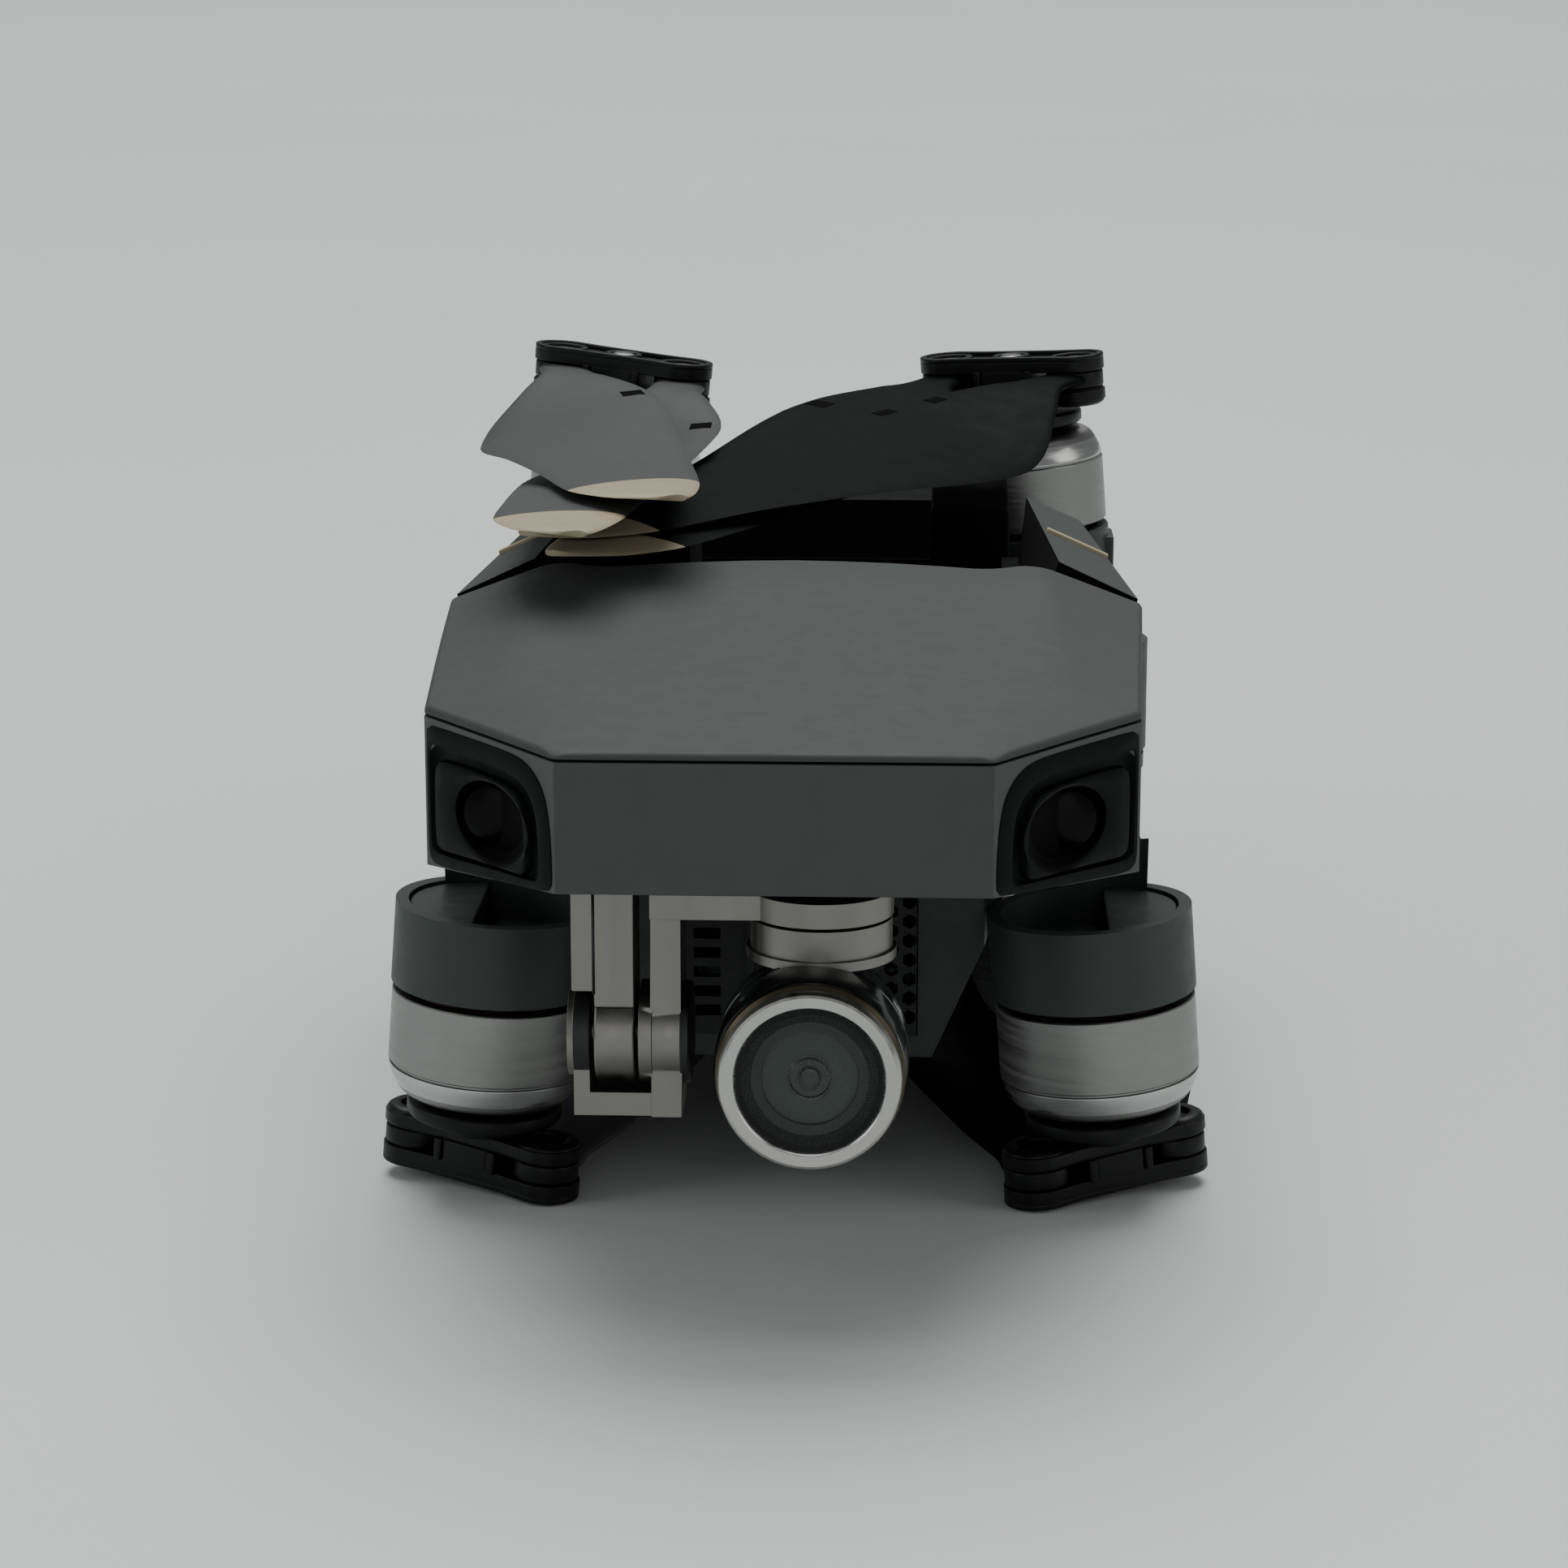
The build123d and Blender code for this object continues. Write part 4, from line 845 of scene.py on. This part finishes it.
def make_hub(kind, side):
    tag = "right" if side > 0 else "left"
    name = f"{kind}_hub_{tag}"
    fr = motor_frame(kind, side)
    bx, by = in_plan(fr, HUB_BAR[(kind, side)])
    ang = atan2(by, bx)
    H = 8.5
    ends = [(bx * H, by * H), (-bx * H, -by * H)]
    parts = []
    # base disc with a stepped rim and a short neck
    parts.append(lathe(fr, [(0, 12.78), (7.6, 12.78), (8.15, 12.95), (8.4, 13.25), (8.4, 14.2), (8.2, 14.5), (7.7, 14.6), (5.4, 14.65), (4.9, 14.9), (4.8, 15.2), (4.8, 16.1), (0, 16.1)], 96, closed=False))
    o1 = slot_outline(17.0, 3.7, ang, 20, 0.45)
    o1b = slot_outline(17.0, 3.45, ang, 20, 0.45)
    i1 = slot_outline(17.0, 2.3, ang, 20, 0.0)
    # lower plate
    parts.append(prism(fr, o1, 16.0, 17.35))
    parts.append(prism(fr, o1b, 17.3, 17.6))
    # middle block between the blade roots, with side webs
    c, s = cos(ang), sin(ang)

    def rot(pts):
        return [(x * c - y * s, x * s + y * c) for x, y in pts]
    parts.append(prism(fr, rot(rrect(7.6, 6.6, 1.4, 5)), 17.5, 20.0))
    for u in (-1, 1):
        parts.append(prism(fr, rot(rrect(1.0, 7.1, 0.3, 3, u * 3.5, 0)), 17.5, 20.0))
    # deep upper bar with a shallow oval dish over each pivot
    parts.append(prism(fr, slot_outline(17.0, 3.72, ang, 28, 0.45), 19.78, 21.2))
    parts.append(ring_prism(fr, slot_outline(17.0, 3.72, ang, 28, 0.45), slot_outline(17.0, 2.9, ang, 28, 0.3), 21.1, 21.78))
    # bosses: ring round each pivot, with the pin's head sunk in it
    for ex, ey in ends:
        parts.append(lathe(fr, [(2.2, 21.1), (2.2, 21.45), (2.35, 21.55), (2.9, 21.55), (3.0, 21.45), (3.05, 21.1)], 48, ex, ey))
        parts.append(lathe(fr, [(0, 21.28, 1), (1.2, 21.28, 1), (1.4, 21.2, 1), (1.5, 21.1, 1), (1.5, 16.6, 1), (0, 16.6, 1)], 40, ex, ey, closed=False))
        parts.append(lathe(fr, [(2.0, 15.4), (3.0, 15.4), (3.45, 15.7), (3.6, 16.05), (2.0, 16.05)], 48, ex, ey))
    # centre: raised ring, pale shaft end
    parts.append(lathe(fr, [(1.65, 21.1), (1.65, 21.6), (1.75, 21.72), (2.2, 21.72), (2.35, 21.6), (2.4, 21.1)], 48))
    parts.append(lathe(fr, [(0, 21.72, 2), (1.1, 21.68, 2), (1.5, 21.5, 2), (1.55, 21.0, 2), (0, 21.0, 2)], 40, closed=False))
    V, F, I = join(parts)
    me = mesh(name + "_moulding", V, F, I)
    o = finish_obj(me, name + "_moulding", name, [M["hub_black"], M["steel"], M_WHITE], bevel=0.14, segs=2, angle=50)
    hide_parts(name)
    return o


def make_bell(kind, side):
    tag = "right" if side > 0 else "left"
    name = f"{kind}_bell_{tag}"
    fr = motor_frame(kind, side)
    R = 10.7
    prof = [(9.7, 0.55), (R - 0.12, 0.52), (R, 0.66), (R, 4.2), (R, 8.35), (R - 0.10, 8.45), (R - 0.28, 8.52), (R - 0.28, 8.72), (R - 0.08, 8.8, 1), (R - 0.06, 8.95, 1),
            (R - 0.35, 9.9, 1), (R - 0.85, 10.9, 0), (R - 1.15, 11.35), (R - 1.5, 11.7), (R - 2.0, 12.0), (R - 2.7, 12.2), (7.4, 12.3), (7.2, 12.45), (5.2, 12.55), (4.6, 12.6), (2.2, 12.6),
            (2.2, 11.2), (8.6, 11.0), (9.3, 10.2), (9.5, 8.0), (9.6, 1.2)]
    V, F, I = lathe(fr, prof, 160)
    parts = [(V, F, I)]
    # steel flux ring seen in the gap under the rim, painted near-black as shade in the gap, and the shaft
    parts.append(lathe(fr, [(9.05, 1.0, 3), (9.55, 1.0, 3), (9.55, 8.0, 3), (9.05, 8.0, 3)], 120))
    parts.append(lathe(fr, [(0, 12.5, 2), (1.4, 12.5, 2), (1.5, 12.3, 2), (1.5, -1.0, 2), (0, -1.0, 2)], 40, closed=False))
    V, F, I = join(parts)
    me = mesh(name + "_turned", V, F, I)
    o = finish_obj(me, name + "_turned", name, [M["bell_silver"], M_CHROME, M["steel"], M_BLACK_AND_GAP_SHADE], sharp=28)
    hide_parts(name)
    return o


for kind in ("front", "rear"):
    for side in (1, -1):
        make_bell(kind, side)
        make_hub(kind, side)
        make_blade(kind, side, "a")
        make_blade(kind, side, "b")


# ================================================================ camera
def camera_group():
    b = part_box("camera_housing")
    cx, cz = (b[0].x + b[1].x) / 2 / MM, (b[0].z + b[1].z) / 2 / MM
    y0, y1 = b[0].y / MM, b[1].y / MM
    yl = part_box("lens_ring")[0].y / MM
    fr = Local((cx, yl, cz), (0, 1, 0), (1, 0, 0))      # z runs from the front ring towards the back
    d = y0 - yl
    L = y1 - yl
    R = 9.5
    prof = [(7.6, d + 0.1), (8.3, d + 0.05), (8.9, d + 0.6), (9.2, d + 1.6), (R - 0.1, d + 3.0), (R, d + 5.4), (R, d + 6.2), (R - 0.14, d + 6.35), (R - 0.14, d + 6.6), (R, d + 6.75), (R, d + 9.6),
            (R - 0.25, d + 11.8), (R - 0.8, d + 13.8), (R - 1.8, d + 15.7), (R - 3.3, L - 1.7), (R - 5.2, L - 0.6), (R - 7.4, L - 0.1), (0, L)]
    V, F, I = lathe(fr, prof, 160, closed=False)
    parts = [(V, F, I)]
    # thin bronze ring behind the silver ring
    parts.append(lathe(fr, [(8.75, d - 0.15, 1), (9.12, d + 0.15, 1), (9.2, d + 0.55, 1), (9.1, d + 0.9, 1), (8.6, d + 0.8, 1)], 160))
    V, F, I = join(parts)
    o = finish_obj(mesh("camera_ball", V, F, I), "camera_ball", "camera_housing", [M["gloss_black"], M_BRONZE], sharp=35)
    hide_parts("camera_housing")
    # silver ring: bevelled outside and inside
    V, F, I = lathe(fr, [(7.12, 0.52, 1), (7.30, 0.20, 1), (7.42, 0.10), (8.42, 0.0), (8.66, 0.14), (8.84, 0.55), (8.85, 1.3), (8.75, 1.95), (7.3, 1.95), (7.12, 1.2)], 192)
    o = finish_obj(mesh("lens_ring_turned", V, F, I), "lens_ring_turned", "lens_ring", [M["lens_silver"], M_CHROME], sharp=30)
    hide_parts("lens_ring")
    # baffles, inner cone and optics
    parts = []
    parts.append(lathe(fr, [(7.35, 0.50, 0), (7.1, 0.55, 0), (6.4, 0.95, 0), (5.72, 1.15, 0), (5.68, 1.3, 1), (5.2, 1.42, 1), (4.72, 1.5, 1), (4.66, 1.75, 1), (4.6, 3.2, 0), (7.3, 3.2, 0)], 160))
    parts.append(lathe(fr, [(4.66, 1.80, 2), (4.2, 1.72, 2), (3.2, 1.64, 2), (2.5, 1.66, 2), (2.25, 1.78, 3), (2.05, 1.80, 3), (1.85, 1.66, 3), (1.3, 1.70, 2), (1.12, 1.86, 3), (1.0, 1.88, 3), (0.9, 1.70, 3), (0.5, 1.62, 2), (0, 1.60, 2)], 128, closed=False))
    V, F, I = join(parts)
    o = finish_obj(mesh("lens_optics", V, F, I), "lens_optics", "lens_glass", [M_BLACK_AND_GAP_SHADE, M_GREYRING, M_IRIS, M["gloss_black"]], sharp=35)
    o_g = lathe(fr, [(0, 0.45), (2.5, 0.48), (4.5, 0.56), (5.8, 0.66), (6.6, 0.76), (6.6, 0.86), (4.5, 0.66), (2.5, 0.58), (0, 0.55)], 128, closed=False)
    g = finish_obj(mesh("lens_front_glass", *o_g), "lens_front_glass", "lens_glass", [M["lens_glass"]], sharp=60)
    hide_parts("lens_glass")
    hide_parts("lens_glass")


camera_group()

# ================================================================ the other CAD pieces, with rounded edges
def paint_bay_shade(c, n):
    """Painted shade: faces inside the bay, faces that look into it, the bay floor and the tail top take the near-black
    bay material.
    """
    if c.z > 38 and abs(c.x) < 33 and c.y > -46:
        if n.x * (1 if c.x > 0 else -1) < -0.25 or n.y < -0.4 or (n.z < -0.5):
            return 1
    if abs(c.x) < 27 and n.z > 0.5 and (c.y > 48 or (c.z < 66.2 and c.y > -46)):
        return 1
    return 0


def paint_arm(c, n):
    """Round cover edge and recess of the tilting frame are black."""
    r = hypot(c.y + 83.0, c.z - 27.5)
    if -9.55 < c.x < -8.3 and r < 6:
        return 1
    if -20.25 < c.x < -18.6 and 4.3 < r < 5.0 and abs(n.x) < 0.3:
        return 1
    return 0


# mid frame: grey shell, with painted shade on the faces in and behind the bay
refine("mid_frame", 0.35, 2, 30, [M["shell_grey"], M_BAY_BLACK_AND_SHADE], paint_bay_shade)
# battery bay liner: black plastic with painted shade
refine("battery_bay", 0.25, 2, 35, [M_BAY_BLACK_AND_SHADE])
refine("gimbal_pitch_arm", 0.35, 3, 40, [M["gimbal_silver"], M["gimbal_black"]], paint_arm)
for n, w, sg, an in (
        ("lower_hull", 0.35, 2, 30), ("bay_vent_grille", 0.08, 1, 50),
        ("damper_plate", 0.2, 2, 40), ("gimbal_bracket", 0.3, 2, 40), ("gimbal_pitch_motor", 0.25, 2, 40),
        ("gimbal_yaw_yoke", 0.3, 3, 40), ("gimbal_roll_motor", 0.3, 3, 40),
        ("belly_sensors", 0.25, 2, 40), ("tail_feet", 0.5, 3, 35), ("tail_light", 0.2, 2, 40), ("body_screws", 0.08, 1, 50),
        ("mode_switch", 0.2, 2, 35), ("link_button", 0.25, 2, 35), ("usb_cover", 0.2, 2, 35), ("heat_sink", 0.1, 1, 50),
        ("main_board", 0.05, 1, 50), ("battery_contacts", 0.08, 1, 50), ("cooling_fan", 0.08, 1, 50), ("arm_hinge_pins", 0.12, 1, 50),
        ("damper_balls", 0.0, 1, 50)):
    refine(n, w, sg, an)
# black cover round the end of the tilting frame
cf = Local((0, -83.0, 27.5), (1, 0, 0), (0, 1, 0))
finish_obj(mesh("tilt_end_cover", *lathe(cf, [(4.6, -9.72), (5.06, -9.72), (5.12, -9.5), (5.12, -8.95), (4.95, -8.72), (3.2, -8.62), (0, -8.6), (0, -8.9), (4.4, -9.2)], 96)), "tilt_end_cover", [], [M["gimbal_black"]],
           body="gimbal_pitch", sharp=35)
# black side blocks along the open bay, between it and the folded front motors: painted shade over the lower inner part
# of the bells
for sd in (1, -1):
    tag = "right" if sd > 0 else "left"
    rf = Local((0, 0, 0), (0, 0, 1))
    rv, rfa, ri = prism(rf, [(sd * 14.3, 6.0), (sd * 23.6, 6.0), (sd * 23.6, 30.2), (sd * 14.3, 30.2)], 44.95, 65.4)
    finish_obj(mesh("bay_shade_block_" + tag, rv, rfa, ri), "bay_shade_block_" + tag, [], [M_BAY_BLACK_AND_SHADE], body="airframe", bevel=0.5, segs=2, angle=40)
# dark joint line between the two halves of the gimbal bracket
lf = Local((-18.2, -87.02, 36.8), (0, -1, 0))
lv, lfa, li = prism(lf, [(-0.14, -4.4), (0.14, -4.4), (0.14, 7.4), (-0.14, 7.4)], -0.3, 0.04)
finish_obj(mesh("bracket_joint_line", lv, lfa, li), "bracket_joint_line", [], [M["gimbal_black"]], body="airframe")
for t in ("left", "right"):
    refine("front_arm_" + t, 0.4, 3, 32)
    refine("rear_arm_" + t, 0.4, 3, 32)
    refine("front_leg_" + t, 0.6, 3, 30)
    refine("front_led_" + t, 0.25, 2, 40)
    refine("rear_led_" + t, 0.25, 2, 40)
    refine("front_stator_" + t, 0.06, 1, 50)
    refine("rear_stator_" + t, 0.06, 1, 50)



# ================================================================ motor cups of the front arms
def front_cup(side):
    """Cup that carries a front motor, its neck to the arm and the lug over the leg."""
    tag = "right" if side > 0 else "left"
    fr = motor_frame("front", side)
    node = "front_arm_" + tag
    ms = [M[SLOT_OF[node]]]
    cup = [(9.5, -9.2), (10.9, -9.2), (10.9, -0.3), (9.5, -0.3), (9.5, -3.2), (1.9, -3.2), (1.9, -5.0), (9.5, -5.0)]
    finish_obj(mesh("front_cup_" + tag, *lathe(fr, cup, 96)), "front_cup_" + tag, [], ms, body=node, bevel=0.25, segs=2, angle=40)
    mx, my = abs(fr.o.x), fr.o.y
    wall = [(34.15 - 7.1 * k / 8, my - sqrt(10.2 ** 2 - (34.15 - 7.1 * k / 8 - mx) ** 2)) for k in range(9)]
    out = [(side * x, y) for x, y in [(27.05, 29.4), (34.15, 29.4)] + wall]
    finish_obj(mesh("front_cup_neck_" + tag, *prism(Local((0, 0, 0), (0, 0, 1)), out, 47.65, 56.15)), "front_cup_neck_" + tag, [], ms, body=node, bevel=0.3, segs=2, angle=40)
    lug = [(34.4, 47.2), (37.35, 47.2), (37.35, 56.6), (35.9, 56.6), (35.9, 48.4), (34.4, 48.4)]
    finish_obj(mesh("front_leg_lug_" + tag, *prism(Local((0, my, 0), (0, -1, 0), (1, 0, 0)), [(side * x, z) for x, z in lug], -3.35, 3.35)), "front_leg_lug_" + tag, [], ms, body=node, bevel=0.3, segs=2, angle=40)


for s in (1, -1):
    front_cup(s)

# ================================================================ pale lines on the shoulders
def pale_shoulder_line(side):
    """Thin pale line across the shoulder, on the slope between its inner and outer edge."""
    y0, y1 = -20.6, -19.5
    p, q = Vector((27.4, 0, 67.62)), Vector((34.2, 0, 64.6))
    nrm = Vector((q.z - p.z, 0, -(q.x - p.x))).normalized()
    if nrm.z < 0:
        nrm = -nrm
    pts = []
    for a, y in ((p, y0), (q, y0), (q, y1), (p, y1)):
        pts.append((side * a.x, y, a.z))
    off = [(side * nrm.x * 0.08, 0, nrm.z * 0.08), (-side * nrm.x * 0.5, 0, -nrm.z * 0.5)]
    v = [tuple(c + d for c, d in zip(w, off[0])) for w in pts] + [tuple(c + d for c, d in zip(w, off[1])) for w in pts]
    f = [(0, 1, 2, 3), (7, 6, 5, 4)] + [(i, 4 + i, 4 + (i + 1) % 4, (i + 1) % 4) for i in range(4)]
    me = mesh("shoulder_line_" + ("right" if side > 0 else "left"), v, f)
    return finish_obj(me, me.name, [], [M_CREAM], body="airframe", bevel=0.05, segs=1, angle=50)


for s in (1, -1):
    pale_shoulder_line(s)

# ================================================================ floor, light, camera
fm, fnt, fb = tree("paper_floor")
fv = coords(fnt)
fn = noise(fnt, fv, 3.0, 2, 0.5)
ff = noise(fnt, fv, 900, 3, 0.5)
fc = ramp(fnt, fn, [(0.3, (0.60, 0.625, 0.61)), (0.7, (0.63, 0.655, 0.64))])
fnt.links.new(fc, fb.inputs["Base Color"])
fnt.links.new(maprange(fnt, ff, 0.50, 0.62, 0.3, 0.7), fb.inputs["Roughness"])
bump(fnt, fb, ff, 0.00003, 0.4)
fme = bpy.data.meshes.new("floor")
S = 12.0
fme.from_pydata([(-S, -S, 0), (S, -S, 0), (S, S, 0), (-S, S, 0)], [], [(0, 1, 2, 3)])
floor = bpy.data.objects.new("floor", fme)
SC.collection.objects.link(floor)
fme.materials.append(fm)

world = bpy.data.worlds.new("studio")
SC.world = world
world.use_nodes = True
wb = world.node_tree.nodes["Background"]
wb.inputs[0].default_value = (0.86, 0.90, 0.89, 1)
wb.inputs[1].default_value = 0.27


def area(name, loc, target, size, power, col=(1, 1, 1), size_y=None):
    l = bpy.data.lights.new(name, "AREA")
    l.energy = power
    l.size = size
    if size_y:
        l.shape = "RECTANGLE"
        l.size_y = size_y
    l.color = col
    o = bpy.data.objects.new(name, l)
    SC.collection.objects.link(o)
    o.location = loc
    o.rotation_euler = (Vector(target) - Vector(loc)).to_track_quat("-Z", "Y").to_euler()
    return o


area("overhead", (0.0, 0.05, 1.5), (0, 0.03, 0.0), 1.2, 7, (1.0, 1.0, 0.99), 1.2)
area("far_overhead", (0.0, 2.3, 4.2), (0, 2.3, 0.0), 4.2, 240, (0.98, 1.0, 0.99), 4.0)
area("left_window", (-0.95, -0.35, 0.50), (0, -0.05, 0.04), 0.6, 2.0, (0.97, 1.0, 1.0))
area("front_fill", (0.0, -1.3, 0.35), (0, -0.10, 0.0), 0.7, 1.6, (1.0, 1.0, 1.0))
area("right_fill", (0.95, -0.30, 0.45), (0, -0.05, 0.04), 0.6, 1.6, (1.0, 0.99, 0.97))

cam_d = bpy.data.cameras.new("camera")
cam_d.sensor_width = 36
cam_d.lens = 5010 / 1932 * 36
cam_d.clip_start = 0.01
cam = bpy.data.objects.new("camera", cam_d)
SC.collection.objects.link(cam)
psi, pit = radians(2.24), radians(13.3)
fwd = Vector((-sin(psi) * cos(pit), cos(psi) * cos(pit), -sin(pit)))
cam.location = (0.0155, -0.470, 0.1444)
cam.rotation_euler = fwd.to_track_quat("-Z", "Y").to_euler()
SC.camera = cam

bpy.context.view_layer.update()
